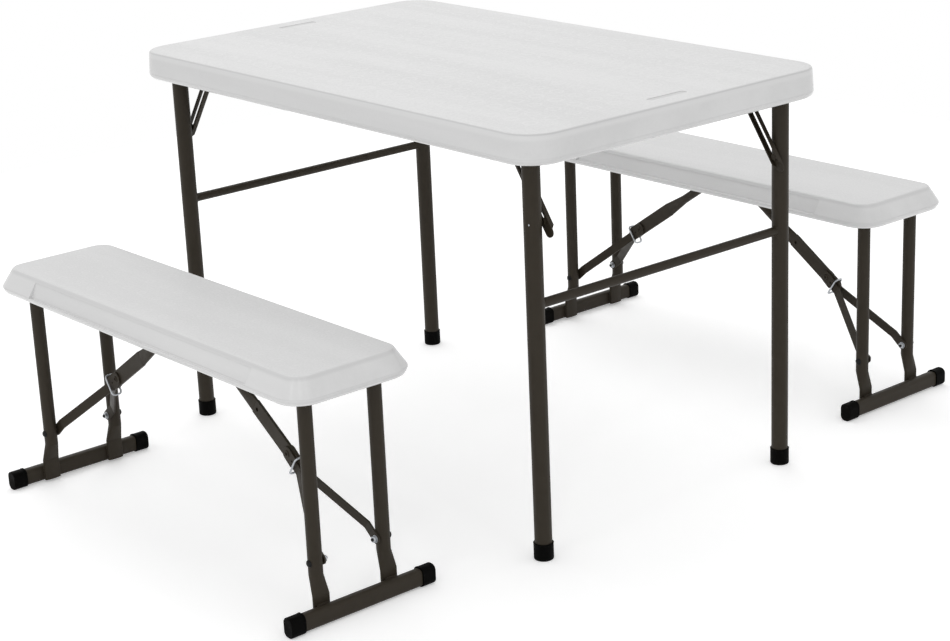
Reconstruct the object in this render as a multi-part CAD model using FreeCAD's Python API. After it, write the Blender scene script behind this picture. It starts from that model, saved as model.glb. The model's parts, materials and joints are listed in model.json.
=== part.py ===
"""Folding camping table with two folding benches, in millimetres, +Z up.

The origin is on the floor, midway between the two benches. X runs along the
table, Y across it. "Left" is X-, "right" is X+, "front" is Y- and "rear" is Y+.
"""
import FreeCAD, Part
import math
import os

from FreeCAD import Vector

# Layout of the set
BENCH_SPACING = 1305.0        # between the centre lines of the two benches
TABLE_OFFSET_Y = -26.0        # the table stands a little nearer to the front bench
FRONT_BENCH_SHIFT = 2.3       # each bench stands a little to one side, along X
REAR_BENCH_SHIFT = 17.7

# Fits shared by all pieces
RUNNING_FIT = 0.05            # radial clearance of a pin or tube that turns in a hole
SIDE_GAP = 0.3                # between flat faces that slide past each other

# Moulded table top
TOP_LENGTH = 1120.0           # over the lower edge of the rim
TOP_WIDTH = 694.0
TOP_HEIGHT = 737.0
TOP_CORNER_R = 62.0
TOP_EDGE_R = 6.0
RIM_DEPTH = 52.0
RIM_DRAFT = 3.0               # each side leans in by this from the rim to the top
RIM_WALL = 36.0
RIM_EDGE_R = 11.0
TRAY_CORNER_R = 8.0
PLATE_THICKNESS = 20.0
PLACE_LENGTH = 84.0           # bare shallow recess in the middle of each short end
PLACE_WIDTH = 14.0
PLACE_DEPTH = 0.8
PLACE_CORNER_R = 3.5
PLACE_INSET = 49.0
TACK_R = 15.0                 # tapered tack-off dimples in the underside
TACK_TIP_R = 7.0
TACK_DEPTH = 9.0
TACK_PITCH_X = 150.0
TACK_PITCH_Y = 150.0
TACK_COLUMNS = 6
TACK_ROWS = 3

# Table leg frames
LEG_OD = 30.0
LEG_WALL = 1.2
LEG_INSET_X = 62.0
LEG_INSET_Y = 55.0
PIVOT_OD = 19.0
PIVOT_WALL = 1.5
STRETCHER_OD = 16.0
STRETCHER_WALL = 1.2
STRETCHER_Z = 443.0
FOOT_HEIGHT = 30.0
FOOT_FLOOR = 4.0
FOOT_WALL = 2.0
FOOT_EDGE_R = 2.5

# Side rails under the top
RAIL_GAUGE = 1.5
RAIL_DEPTH = 34.0
RAIL_END_ROOM = 0.5           # rail end to the start of the tray's corner
RAIL_EAR_LENGTH = 96.0        # inner flange, only at the two ends
RAIL_LEG_ROOM = 4.5           # leg to outer flange
RAIL_LINK_ROOM = 2.0          # link flange to inner flange
WEB_ROOM = 1.5                # folded foot cap to web
RAIL_BEND_R = 3.0
RAIL_SCREW_AF = 9.0
RAIL_SCREW_HEIGHT = 3.0
RAIL_SCREWS_X = (-300.0, -110.0, 110.0, 300.0)

# Slotted links that lock the table legs
LINK_REACH = 69.0             # link pivot inboard of the leg pivot
LINK_PIN_DROP = 116.5         # link pin below the leg pivot
LINK_PIN_OUTSET = 6.0         # link pin outboard of the leg's axis
LINK_STANDOFF = 4.0
LINK_GAUGE = 2.0
LINK_WIDTH = 18.0
LINK_FLANGE = 8.0
LINK_TAIL = 29.0              # link end beyond the pin
FLANGE_PAST_PIN = 12.0
LINK_PIN_D = 8.0
SLOT_PLAY = 0.1
SLOT_RUN_OUT = 16.0           # slot runs on past the folded pin by this
LINK_HEAD_D = 11.5
LINK_HEAD_HEIGHT = 3.0
STUD_D = 8.0
STUD_SHOULDER_D = 12.0
STUD_HEAD_HEIGHT = 2.2

# Moulded bench seat
SEAT_LENGTH = 919.0           # over the lip
SEAT_WIDTH = 247.6
SEAT_HEIGHT = 419.0
SEAT_DEPTH = 43.0
SEAT_LIP = 10.0               # height of the lip, the widest line, above the rim
SEAT_LIP_DRAFT = 6.0          # each side leans in by this from the lip to the rim
SEAT_DRAFT = 22.0             # each side leans in by this from the lip to the top
SEAT_CORNER_R = 50.0
SEAT_EDGE_R = 7.0
SEAT_LIP_R = 5.0
SEAT_RIM_R = 3.0
SEAT_WALL = 24.0
SEAT_PLATE = 15.0
GRIP_LENGTH = 660.0           # hand grip in each long side, down to the lip
GRIP_DEPTH = 6.5              # at the lip
GRIP_TOP_DEPTH = 1.0          # at its upper edge
SEAT_TACK_R = 10.0            # tapered tack-off dimples in the underside
SEAT_TACK_TIP_R = 5.0
SEAT_TACK_DEPTH = 7.0
SEAT_TACK_PITCH_X = 120.0
SEAT_TACK_PITCH_Y = 90.0
SEAT_TACK_COLUMNS = 6
SEAT_TACK_ROWS = 2

# Bench leg frames
BENCH_LEG_OD = 24.0
BENCH_LEG_WALL = 1.2
BENCH_LEG_INSET = 52.0
BENCH_LEG_SPREAD = 136.0
CEILING_ROOM = 0.75           # folded lock ring to the underside of the seat
FLAT_THICKNESS = 9.0          # flattened lower end of a leg
FLAT_WIDTH = 32.0
FLAT_TOP_Z = 44.0
ROUND_END_Z = 76.0
FLAT_BOTTOM_Z = 5.0
BAR_LENGTH = 282.0
BAR_WIDTH = 20.0
BAR_HEIGHT = 30.0
BAR_CORNER_R = 8.0
BAR_WALL = 1.5
BAR_OUTSET = 24.0             # bar outboard of the leg axis
BAR_CAP_LENGTH = 27.0
BAR_CAP_WALL = 2.0
BAR_CAP_END = 4.0
BAR_CAP_EDGE_R = 1.5

# Straps that hold the bench pivot tube
STRAP_GAUGE = 2.0
STRAP_WIDTH = 16.0
STRAP_FOOT = 11.0
STRAP_Y = 40.0
STRAP_SCREW_AF = 7.0
STRAP_SCREW_HEIGHT = 2.6

# Folding brace of a bench
BRACE_BOLT_Z = 98.0
CENTRE_PIVOT_X = 17.0
BRACE_SLACK = 0.7             # the two arms together are this much longer than their span
ARM_OD = 17.5
ARM_FLAT_T = 5.0
ARM_FLAT_LENGTH = 106.0       # flattened length above the knee rivet
ARM_TAPER = 52.0
ARM_TAIL = 38.0               # tail below the knee rivet, held by the ring
LOCATOR_HOLE_D = 7.0
LOCATOR_ABOVE_KNEE = 98.0
STRIP_WIDTH = 18.0
STRIP_GAUGE = 3.0
HEAD_R = 12.0                 # half width of a strip's head, and its round end
HEAD_LENGTH = 19.0            # from the knee rivet to the notch that the ring lies in
HEAD_STEP = 3.0
PILOT_D = 3.5
PILOT_BELOW_KNEE = 15.5
NECK_LENGTH = 36.0
STRIP_END_FLAT = 28.0
RIVET_D = 8.0
RIVET_HEAD_D = 11.5
RIVET_HEAD_HEIGHT = 1.6
SCREW_D = 6.0
SCREW_HEAD_D = 11.0
SCREW_HEAD_HEIGHT = 3.5
NUT_AF = 10.0
NUT_HEIGHT = 5.0
THREAD_END = 3.0
WIRE_D = 3.5
RING_INNER_WIDTH = 35.0
RING_CORNER_R = 6.0
RING_BELOW_KNEE = 24.5

# Bracket in the middle of the seat
BRACKET_GAUGE = 2.0
BRACKET_SIDE_GAP = 2.0        # arm tube to bracket side
BRACKET_NOSE_R = 10.0
BRACKET_PIN_D = 8.0
BRACKET_PIN_HEAD_D = 12.0
BRACKET_PIN_HEAD = 2.0
BRACKET_FOOT = 14.0           # flange on each side, screwed to the seat


def corner_angle(side_a, side_b, opposite):
    """Angle in degrees between two sides of a triangle."""
    cosine = (side_a ** 2 + side_b ** 2 - opposite ** 2) / (2 * side_a * side_b)
    return math.degrees(math.acos(cosine))


# Places worked out from the sizes above
LEG_X = TOP_LENGTH / 2 - LEG_INSET_X
LEG_Y = TOP_WIDTH / 2 - LEG_INSET_Y
PLATE_UNDER_Z = TOP_HEIGHT - PLATE_THICKNESS
WEB_UNDER_Z = PLATE_UNDER_Z - RAIL_GAUGE
LEG_PIVOT_Z = WEB_UNDER_Z - WEB_ROOM - FOOT_WALL - LEG_OD / 2
# The link's pivot is as much below the leg's as its pin is outboard, so the folded link lies level
LINK_PIVOT_X = LEG_X - LINK_REACH
LINK_PIVOT_Z = LEG_PIVOT_Z - LINK_PIN_OUTSET
LINK_RUN = LINK_REACH + LINK_PIN_OUTSET
LINK_FALL = LINK_PIN_DROP - LINK_PIN_OUTSET
LINK_SPAN = math.hypot(LINK_RUN, LINK_FALL)
LINK_FOLDED_SPAN = abs(LINK_PIN_DROP - LINK_REACH)
LINK_ANGLE = math.degrees(math.atan2(LINK_FALL, LINK_RUN))
LINK_OUTER_Y = LEG_Y - LEG_OD / 2 - LINK_STANDOFF
LINK_INNER_Y = LINK_OUTER_Y - LINK_FLANGE
RAIL_OUTER_Y = LEG_Y + LEG_OD / 2 + RAIL_LEG_ROOM + RAIL_GAUGE
RAIL_INNER_Y = LINK_INNER_Y - RAIL_LINK_ROOM - RAIL_GAUGE
RIM_INNER_X = TOP_LENGTH / 2 - RIM_WALL
RIM_INNER_Y = RAIL_OUTER_Y

SEAT_UNDER_Z = SEAT_HEIGHT - SEAT_PLATE
SEAT_RIM_Z = SEAT_HEIGHT - SEAT_DEPTH
SEAT_LIP_Z = SEAT_RIM_Z + SEAT_LIP
BENCH_LEG_X = SEAT_LENGTH / 2 - BENCH_LEG_INSET
BENCH_LEG_Y = BENCH_LEG_SPREAD / 2
ARM_FLAT_W = math.pi * ARM_OD / 2
BENCH_PIVOT_Z = SEAT_UNDER_Z - CEILING_ROOM - WIRE_D - SIDE_GAP - ARM_FLAT_W / 2
BAR_X = BENCH_LEG_X + BAR_OUTSET
BAR_BOTTOM_Z = BAR_CAP_WALL
FLAT_X = BAR_X - BAR_WIDTH / 2 - FLAT_THICKNESS / 2
BRACE_RUN = BENCH_LEG_X - CENTRE_PIVOT_X
BRACE_DROP = BENCH_PIVOT_Z - BRACE_BOLT_Z
BRACE_SPAN = math.hypot(BRACE_RUN, BRACE_DROP)
# The brace is all but straight when the bench stands and doubles back flat when it is folded
BRACE_REACH = BRACE_SPAN + BRACE_SLACK
KNEE_REACH = (BRACE_REACH + BRACE_RUN - BRACE_DROP) / 2
STRIP_REACH = BRACE_REACH - KNEE_REACH
LINE_ANGLE = math.degrees(math.atan2(BRACE_DROP, BRACE_RUN))
BRACE_ANGLE = LINE_ANGLE - corner_angle(KNEE_REACH, BRACE_SPAN, STRIP_REACH)
KNEE_BEND = LINE_ANGLE + corner_angle(STRIP_REACH, BRACE_SPAN, KNEE_REACH) - BRACE_ANGLE
STRIP_INNER_Y = ARM_FLAT_T / 2 + SIDE_GAP
STRIP_OUTER_Y = STRIP_INNER_Y + STRIP_GAUGE
STRIP_END_OUTER_Y = BENCH_LEG_Y - BENCH_LEG_OD / 2 - SIDE_GAP
STRIP_END_INNER_Y = STRIP_END_OUTER_Y - STRIP_GAUGE
RING_INNER_DEPTH = 2 * (STRIP_OUTER_Y + RIVET_HEAD_HEIGHT + SIDE_GAP)
BRACKET_INNER_Y = ARM_OD / 2 + BRACKET_SIDE_GAP
BRACKET_OUTER_Y = BRACKET_INNER_Y + BRACKET_GAUGE

ORIGIN = Vector(0, 0, 0)
AXIS_X = Vector(1, 0, 0)
AXIS_Y = Vector(0, 1, 0)
AXIS_Z = Vector(0, 0, 1)


def rod(start, end, diameter):
    """Solid cylinder between two points."""
    run = end - start
    return Part.makeCylinder(diameter / 2, run.Length, start, run)


def tube(start, end, outer_d, wall):
    """Round tube between two points, open at both ends."""
    return rod(start, end, outer_d).cut(rod(start, end, outer_d - 2 * wall))


def block(low, high):
    """Box between two corners."""
    size = high - low
    return Part.makeBox(size.x, size.y, size.z, low)


def rounded_outline(length, width, radius, z):
    """Closed wire of a rounded rectangle in a level plane, centred on the Z axis."""
    hx, hy = length / 2, width / 2
    reach = radius * math.sqrt(0.5)
    edges = []
    corners = [(1, 1), (-1, 1), (-1, -1), (1, -1)]
    for number, (sx, sy) in enumerate(corners):
        centre = Vector(sx * (hx - radius), sy * (hy - radius), z)
        on_side = centre + Vector(sx * radius, 0, 0)
        on_end = centre + Vector(0, sy * radius, 0)
        middle = centre + Vector(sx * reach, sy * reach, 0)
        first, last = (on_side, on_end) if number % 2 == 0 else (on_end, on_side)
        edges.append(Part.Arc(first, middle, last).toShape())
    joined = []
    for number, arc in enumerate(edges):
        following = edges[(number + 1) % len(edges)]
        side = Part.LineSegment(arc.lastVertex(True).Point, following.firstVertex(True).Point)
        joined += [arc, side.toShape()]
    return Part.Wire(joined)


def rounded_block(length, width, radius, low_z, high_z):
    """Upright prism of a rounded rectangle."""
    face = Part.Face(rounded_outline(length, width, radius, low_z))
    return face.extrude(Vector(0, 0, high_z - low_z))


def flared_block(length, width, radius, levels):
    """Solid of parallel rounded outlines, given as (height, inset from the full size) levels."""
    outlines = [rounded_outline(length - 2 * inset, width - 2 * inset, radius - inset, z)
                for z, inset in levels]
    return Part.makeLoft(outlines, True, True)


def grid(shape, columns, rows, pitch_x, pitch_y):
    """Copies of a shape in level rows and columns about where it stands."""
    copies = []
    for column in range(columns):
        for row in range(rows):
            copy = shape.copy()
            copy.translate(Vector((column - (columns - 1) / 2) * pitch_x, (row - (rows - 1) / 2) * pitch_y, 0))
            copies.append(copy)
    return copies


def prism(points, run):
    """Prism of a straight-sided outline."""
    return Part.Face(Part.makePolygon(points + points[:1])).extrude(run)


def hexagon(centre, across_flats, run):
    """Hexagonal prism from a centre point along a direction."""
    upright = FreeCAD.Rotation(AXIS_Z, run)
    corner = AXIS_X * (across_flats / math.sqrt(3))
    corners = [FreeCAD.Rotation(AXIS_Z, 60 * number).multVec(corner) for number in range(6)]
    return prism([centre + upright.multVec(corner) for corner in corners], run)


def turned(profile, axis_point, axis):
    """Solid of revolution of a closed straight-sided profile."""
    return Part.Face(Part.makePolygon(profile + profile[:1])).revolve(axis_point, axis, 360)


def level_edges(shape, z, tolerance=0.01):
    """Edges of a shape that lie in the level plane z."""
    return [edge for edge in shape.Edges
            if abs(edge.BoundBox.ZMin - z) < tolerance and abs(edge.BoundBox.ZMax - z) < tolerance]


def mirror_x(shape):
    """Copy on the other side of the plane x = 0."""
    return shape.mirror(ORIGIN, AXIS_X)


def mirror_y(shape):
    """Copy on the other side of the plane y = 0."""
    return shape.mirror(ORIGIN, AXIS_Y)


def both_sides(shape):
    """The shape and its copy across the plane y = 0."""
    return [shape, mirror_y(shape)]


def fused(solids):
    """One clean solid of several that touch or overlap."""
    return solids[0].multiFuse(solids[1:]).removeSplitter()


# Table top and rails

def table_top():
    """Tray-shaped moulded top with a flared, rounded rim and dimples in its underside."""
    rim_z = TOP_HEIGHT - RIM_DEPTH
    top = flared_block(TOP_LENGTH, TOP_WIDTH, TOP_CORNER_R, [(rim_z, 0), (TOP_HEIGHT, RIM_DRAFT)])
    top = top.makeFillet(TOP_EDGE_R, level_edges(top, TOP_HEIGHT))
    top = top.makeFillet(RIM_EDGE_R, level_edges(top, rim_z))
    tray = rounded_block(2 * RIM_INNER_X, 2 * RIM_INNER_Y, TRAY_CORNER_R, rim_z - 1, PLATE_UNDER_Z)
    cutters = [tray]
    for side in (-1, 1):
        floor_z = TOP_HEIGHT - PLACE_DEPTH
        place = rounded_block(PLACE_WIDTH, PLACE_LENGTH, PLACE_CORNER_R, floor_z, TOP_HEIGHT + 1)
        place.translate(Vector(side * (TOP_LENGTH / 2 - PLACE_INSET), 0, 0))
        cutters.append(place)
    dimple = Part.makeCone(TACK_R, TACK_TIP_R, TACK_DEPTH, AXIS_Z * PLATE_UNDER_Z)
    return top.cut(cutters + grid(dimple, TACK_COLUMNS, TACK_ROWS, TACK_PITCH_X, TACK_PITCH_Y))


def side_rail():
    """Rear side rail: channel open downwards, with holes for leg and link pivots."""
    half = RIM_INNER_X - TRAY_CORNER_R - RAIL_END_ROOM
    low_z = PLATE_UNDER_Z - RAIL_DEPTH
    start = Vector(-half, RAIL_INNER_Y, low_z)
    outer = block(start, Vector(half, RAIL_OUTER_Y, PLATE_UNDER_Z))
    bends = [edge for edge in level_edges(outer, PLATE_UNDER_Z) if edge.BoundBox.XLength > half]
    outer = outer.makeFillet(RAIL_BEND_R, bends)
    room = block(Vector(-half - 1, RAIL_INNER_Y + RAIL_GAUGE, low_z - 1),
                 Vector(half + 1, RAIL_OUTER_Y - RAIL_GAUGE, WEB_UNDER_Z))
    holes = []
    for side in (-1, 1):
        pivot = Vector(side * LEG_X, RAIL_INNER_Y - 1, LEG_PIVOT_Z)
        through = AXIS_Y * (RAIL_OUTER_Y - RAIL_INNER_Y + 2)
        holes.append(rod(pivot, pivot + through, PIVOT_OD + 2 * RUNNING_FIT))
        stud = Vector(side * LINK_PIVOT_X, RAIL_INNER_Y - 1, LINK_PIVOT_Z)
        holes.append(rod(stud, stud + AXIS_Y * (RAIL_GAUGE + 2), STUD_D))
    middle = block(Vector(RAIL_EAR_LENGTH - half, RAIL_INNER_Y - 1, low_z - 1),
                   Vector(half - RAIL_EAR_LENGTH, RAIL_INNER_Y + RAIL_GAUGE, WEB_UNDER_Z))
    return outer.cut([room, middle] + holes)


def link_stud():
    """Riveted stud on the inner rail flange that a right rear link turns on."""
    steps = [(RAIL_INNER_Y - STUD_HEAD_HEIGHT, RAIL_INNER_Y, STUD_SHOULDER_D),
             (RAIL_INNER_Y, RAIL_INNER_Y + RAIL_GAUGE, STUD_D),
             (RAIL_INNER_Y + RAIL_GAUGE, LINK_OUTER_Y - LINK_GAUGE - SIDE_GAP, STUD_SHOULDER_D),
             (LINK_OUTER_Y - LINK_GAUGE - SIDE_GAP, LINK_OUTER_Y + SIDE_GAP, STUD_D),
             (LINK_OUTER_Y + SIDE_GAP, LINK_OUTER_Y + SIDE_GAP + STUD_HEAD_HEIGHT, STUD_SHOULDER_D)]
    return stepped_pin(steps, Vector(LINK_PIVOT_X, 0, LINK_PIVOT_Z))


def stepped_pin(steps, axis_point):
    """Pin along Y made of (from y, to y, diameter) steps, turned about the axis point."""
    profile = [axis_point + AXIS_Y * steps[0][0]]
    for low, high, diameter in steps:
        profile.append(axis_point + Vector(diameter / 2, low, 0))
        profile.append(axis_point + Vector(diameter / 2, high, 0))
    profile.append(axis_point + AXIS_Y * steps[-1][1])
    return turned(profile, axis_point, AXIS_Y)


def rail_fasteners():
    """Link studs and the hexagon screws that hold the rails to the top."""
    stud = link_stud()
    solids = [stud, mirror_y(stud), mirror_x(stud), mirror_x(mirror_y(stud))]
    screw_y = (RAIL_INNER_Y + RAIL_GAUGE + LINK_OUTER_Y) / 2
    for x in RAIL_SCREWS_X:
        for side in (-1, 1):
            seat_point = Vector(x, side * screw_y, WEB_UNDER_Z)
            solids.append(hexagon(seat_point, RAIL_SCREW_AF, AXIS_Z * -RAIL_SCREW_HEIGHT))
    return solids


# Table leg frame, right end

def table_pivot_tube():
    """Cross tube that the leg frame turns on, from rail to rail."""
    reach = Vector(0, RAIL_OUTER_Y - RAIL_GAUGE / 2, 0)
    centre = Vector(LEG_X, 0, LEG_PIVOT_Z)
    return tube(centre - reach, centre + reach, PIVOT_OD, PIVOT_WALL)


def table_leg():
    """Rear leg, coped at its top to sit on the pivot tube."""
    axis = Vector(LEG_X, LEG_Y, 0)
    leg = tube(axis + AXIS_Z * FOOT_FLOOR, axis + AXIS_Z * LEG_PIVOT_Z, LEG_OD, LEG_WALL)
    pivot = Vector(LEG_X, LEG_Y - LEG_OD, LEG_PIVOT_Z)
    return leg.cut(rod(pivot, pivot + AXIS_Y * 2 * LEG_OD, PIVOT_OD))


def stretcher():
    """Cross bar between the legs, coped at both ends."""
    reach = Vector(0, LEG_Y, 0)
    centre = Vector(LEG_X, 0, STRETCHER_Z)
    bar = tube(centre - reach, centre + reach, STRETCHER_OD, STRETCHER_WALL)
    leg = rod(Vector(LEG_X, LEG_Y, 0), Vector(LEG_X, LEG_Y, LEG_PIVOT_Z), LEG_OD)
    return bar.cut(both_sides(leg))


def table_foot():
    """Moulded foot cap on the rear leg."""
    base = Vector(LEG_X, LEG_Y, 0)
    outer = rod(base, base + AXIS_Z * FOOT_HEIGHT, LEG_OD + 2 * FOOT_WALL)
    outer = outer.makeFillet(FOOT_EDGE_R, level_edges(outer, 0))
    return outer.cut(rod(base + AXIS_Z * FOOT_FLOOR, base + AXIS_Z * FOOT_HEIGHT, LEG_OD))


# Slotted link of the right rear leg, drawn along X from its pivot and then turned down

def placed_link(shape):
    """Turn a shape drawn along the link into its place on the right rear leg."""
    shape.rotate(ORIGIN, AXIS_Y, LINK_ANGLE)
    shape.translate(Vector(LINK_PIVOT_X, 0, LINK_PIVOT_Z))
    return shape


def capsule(start_x, end_x, width, low_y, high_y):
    """Plate with two round ends along X, between two Y planes."""
    radius = width / 2
    start_top, start_low = Vector(start_x, low_y, radius), Vector(start_x, low_y, -radius)
    end_top, end_low = Vector(end_x, low_y, radius), Vector(end_x, low_y, -radius)
    outline = [Part.LineSegment(start_top, end_top),
               Part.Arc(end_top, Vector(end_x + radius, low_y, 0), end_low),
               Part.LineSegment(end_low, start_low),
               Part.Arc(start_low, Vector(start_x - radius, low_y, 0), start_top)]
    wire = Part.Wire([piece.toShape() for piece in outline])
    return Part.Face(wire).extrude(AXIS_Y * (high_y - low_y))


def link():
    """Pressed channel link with a long slot and a round end."""
    end_x = LINK_SPAN + LINK_TAIL - LINK_WIDTH / 2
    plate = capsule(0, end_x, LINK_WIDTH, LINK_OUTER_Y - LINK_GAUGE, LINK_OUTER_Y)
    flange_end = LINK_SPAN + FLANGE_PAST_PIN
    flanges = []
    for side in (-1, 1):
        low = min(side * LINK_WIDTH / 2, side * (LINK_WIDTH / 2 - LINK_GAUGE))
        taper = [Vector(0, LINK_OUTER_Y, low), Vector(flange_end + LINK_FLANGE, LINK_OUTER_Y, low),
                 Vector(flange_end, LINK_INNER_Y, low), Vector(0, LINK_INNER_Y, low)]
        flanges.append(prism(taper, AXIS_Z * LINK_GAUGE))
    body = fused([plate] + flanges)
    slot_width = LINK_PIN_D + 2 * SLOT_PLAY
    slot_start = LINK_FOLDED_SPAN - SLOT_RUN_OUT
    slot = capsule(slot_start, LINK_SPAN, slot_width, LINK_OUTER_Y - LINK_GAUGE - 1, LINK_OUTER_Y + 1)
    hole = rod(Vector(0, LINK_INNER_Y, 0), Vector(0, LINK_OUTER_Y + 1, 0), STUD_D + 2 * RUNNING_FIT)
    return placed_link(body.cut([slot, hole]))


def link_pin():
    """Headed pin that rides in the slot and bears on the leg."""
    inner = LINK_OUTER_Y - LINK_GAUGE - SIDE_GAP
    outer = LINK_OUTER_Y + SIDE_GAP
    steps = [(inner - LINK_HEAD_HEIGHT, inner, LINK_HEAD_D),
             (inner, outer, LINK_PIN_D),
             (outer, LEG_Y - LEG_OD / 2 - SIDE_GAP, LINK_HEAD_D)]
    return placed_link(stepped_pin(steps, Vector(LINK_SPAN, 0, 0)))


# Bench seat and what is fixed under it

def seat():
    """Tray-shaped moulded seat, flared down to a lip, with a hand grip cut in each long side."""
    levels = [(SEAT_RIM_Z, SEAT_LIP_DRAFT), (SEAT_LIP_Z, 0), (SEAT_HEIGHT, SEAT_DRAFT)]
    body = flared_block(SEAT_LENGTH, SEAT_WIDTH, SEAT_CORNER_R, levels)
    for z, radius in ((SEAT_HEIGHT, SEAT_EDGE_R), (SEAT_LIP_Z, SEAT_LIP_R), (SEAT_RIM_Z, SEAT_RIM_R)):
        body = body.makeFillet(radius, level_edges(body, z))
    tray = rounded_block(SEAT_LENGTH - 2 * SEAT_WALL, SEAT_WIDTH - 2 * SEAT_WALL,
                         SEAT_CORNER_R - SEAT_WALL, SEAT_RIM_Z - 1, SEAT_UNDER_Z)
    dimple = Part.makeCone(SEAT_TACK_R, SEAT_TACK_TIP_R, SEAT_TACK_DEPTH, AXIS_Z * SEAT_UNDER_Z)
    dimples = grid(dimple, SEAT_TACK_COLUMNS, SEAT_TACK_ROWS, SEAT_TACK_PITCH_X, SEAT_TACK_PITCH_Y)
    return body.cut([tray] + dimples + both_sides(hand_grip()))


def hand_grip():
    """Wedge that sets the rear long side back, a little at the top edge and most at the lip."""
    top_z = SEAT_HEIGHT - SEAT_EDGE_R
    lip_y = SEAT_WIDTH / 2
    top_y = lip_y - SEAT_DRAFT * (top_z - SEAT_LIP_Z) / (SEAT_HEIGHT - SEAT_LIP_Z)
    start_x = -GRIP_LENGTH / 2
    section = [Vector(start_x, lip_y - GRIP_DEPTH, SEAT_LIP_Z), Vector(start_x, top_y - GRIP_TOP_DEPTH, top_z),
               Vector(start_x, lip_y + GRIP_DEPTH, top_z), Vector(start_x, lip_y + GRIP_DEPTH, SEAT_LIP_Z)]
    return prism(section, AXIS_X * GRIP_LENGTH)


def strap():
    """Saddle strap round the pivot tube, screwed to the underside of the seat."""
    inner_r = PIVOT_OD / 2 + RUNNING_FIT
    outer_r = inner_r + STRAP_GAUGE
    near_y = STRAP_Y - STRAP_WIDTH / 2
    centre = Vector(BENCH_LEG_X, near_y, BENCH_PIVOT_Z)
    run = AXIS_Y * STRAP_WIDTH
    shell = rod(centre, centre + run, 2 * outer_r)
    sides = block(centre - AXIS_X * outer_r,
                  Vector(BENCH_LEG_X + outer_r, near_y + STRAP_WIDTH, SEAT_UNDER_Z))
    foot_x = outer_r + STRAP_FOOT
    feet = block(Vector(BENCH_LEG_X - foot_x, near_y, SEAT_UNDER_Z - STRAP_GAUGE),
                 Vector(BENCH_LEG_X + foot_x, near_y + STRAP_WIDTH, SEAT_UNDER_Z))
    bore = rod(centre - run, centre + run * 2, 2 * inner_r)
    throat = block(centre - AXIS_X * inner_r - run,
                   Vector(BENCH_LEG_X + inner_r, near_y + 2 * STRAP_WIDTH, SEAT_UNDER_Z + 1))
    return fused([shell, sides, feet]).cut([bore, throat])


def centre_bracket():
    """Channel bracket in the middle of the seat that both braces hang from."""
    half = CENTRE_PIVOT_X + BRACKET_NOSE_R
    base_z = SEAT_UNDER_Z - BRACKET_GAUGE
    foot_y = BRACKET_OUTER_Y + BRACKET_FOOT
    base = block(Vector(-half, -foot_y, base_z), Vector(half, foot_y, SEAT_UNDER_Z))
    cheek = capsule(-CENTRE_PIVOT_X, CENTRE_PIVOT_X, 2 * BRACKET_NOSE_R, BRACKET_INNER_Y, BRACKET_OUTER_Y)
    cheek.translate(AXIS_Z * BENCH_PIVOT_Z)
    upper = block(Vector(-half, BRACKET_INNER_Y, BENCH_PIVOT_Z), Vector(half, BRACKET_OUTER_Y, SEAT_UNDER_Z))
    side = fused([cheek, upper])
    start = Vector(CENTRE_PIVOT_X, -2 * BRACKET_OUTER_Y, BENCH_PIVOT_Z)
    hole = rod(start, start + AXIS_Y * 4 * BRACKET_OUTER_Y, BRACKET_PIN_D)
    return fused([base] + both_sides(side)).cut([hole, mirror_x(hole)])


def bracket_pin(x):
    """Headed pin through the bracket's two sides."""
    steps = [(-BRACKET_OUTER_Y - BRACKET_PIN_HEAD, -BRACKET_OUTER_Y, BRACKET_PIN_HEAD_D),
             (-BRACKET_OUTER_Y, BRACKET_OUTER_Y, BRACKET_PIN_D),
             (BRACKET_OUTER_Y, BRACKET_OUTER_Y + BRACKET_PIN_HEAD, BRACKET_PIN_HEAD_D)]
    return stepped_pin(steps, Vector(x, 0, BENCH_PIVOT_Z))


def seat_fasteners():
    """Bracket pins and the hexagon screws of the straps and the bracket."""
    solids = [bracket_pin(-CENTRE_PIVOT_X), bracket_pin(CENTRE_PIVOT_X)]
    strap_z = SEAT_UNDER_Z - STRAP_GAUGE
    foot_x = PIVOT_OD / 2 + RUNNING_FIT + STRAP_GAUGE + STRAP_FOOT / 2
    foot_y = BRACKET_OUTER_Y + BRACKET_FOOT / 2
    places = [Vector(0, side * foot_y, SEAT_UNDER_Z - BRACKET_GAUGE) for side in (-1, 1)]
    for end in (-1, 1):
        for y in (-STRAP_Y, STRAP_Y):
            places += [Vector(end * BENCH_LEG_X + side * foot_x, y, strap_z) for side in (-1, 1)]
    for place in places:
        solids.append(hexagon(place, STRAP_SCREW_AF, AXIS_Z * -STRAP_SCREW_HEIGHT))
    return solids


# Bench leg frame, right end

def bench_pivot_tube():
    """Cross tube at the top of the bench leg frame."""
    reach = Vector(0, BENCH_LEG_Y + BENCH_LEG_OD / 2, 0)
    centre = Vector(BENCH_LEG_X, 0, BENCH_PIVOT_Z)
    return tube(centre - reach, centre + reach, PIVOT_OD, PIVOT_WALL)


def leg_section(centre, half_x, half_y):
    """Four-arc closed wire between a round tube and a flattened one."""
    lift = math.sqrt(0.5)
    corner_y = half_y - half_x + half_x * lift
    corner_x = half_x * lift
    signs = ((1, 1), (-1, 1), (-1, -1), (1, -1))
    corners = [centre + Vector(sx * corner_x, sy * corner_y, 0) for sx, sy in signs]
    middles = [centre + Vector(0, half_y, 0), centre - Vector(half_x, 0, 0), centre - Vector(0, half_y, 0),
               centre + Vector(half_x, 0, 0)]
    arcs = [Part.Arc(corners[n], middles[n], corners[(n + 1) % 4]).toShape() for n in range(4)]
    return Part.Wire(arcs)


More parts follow.
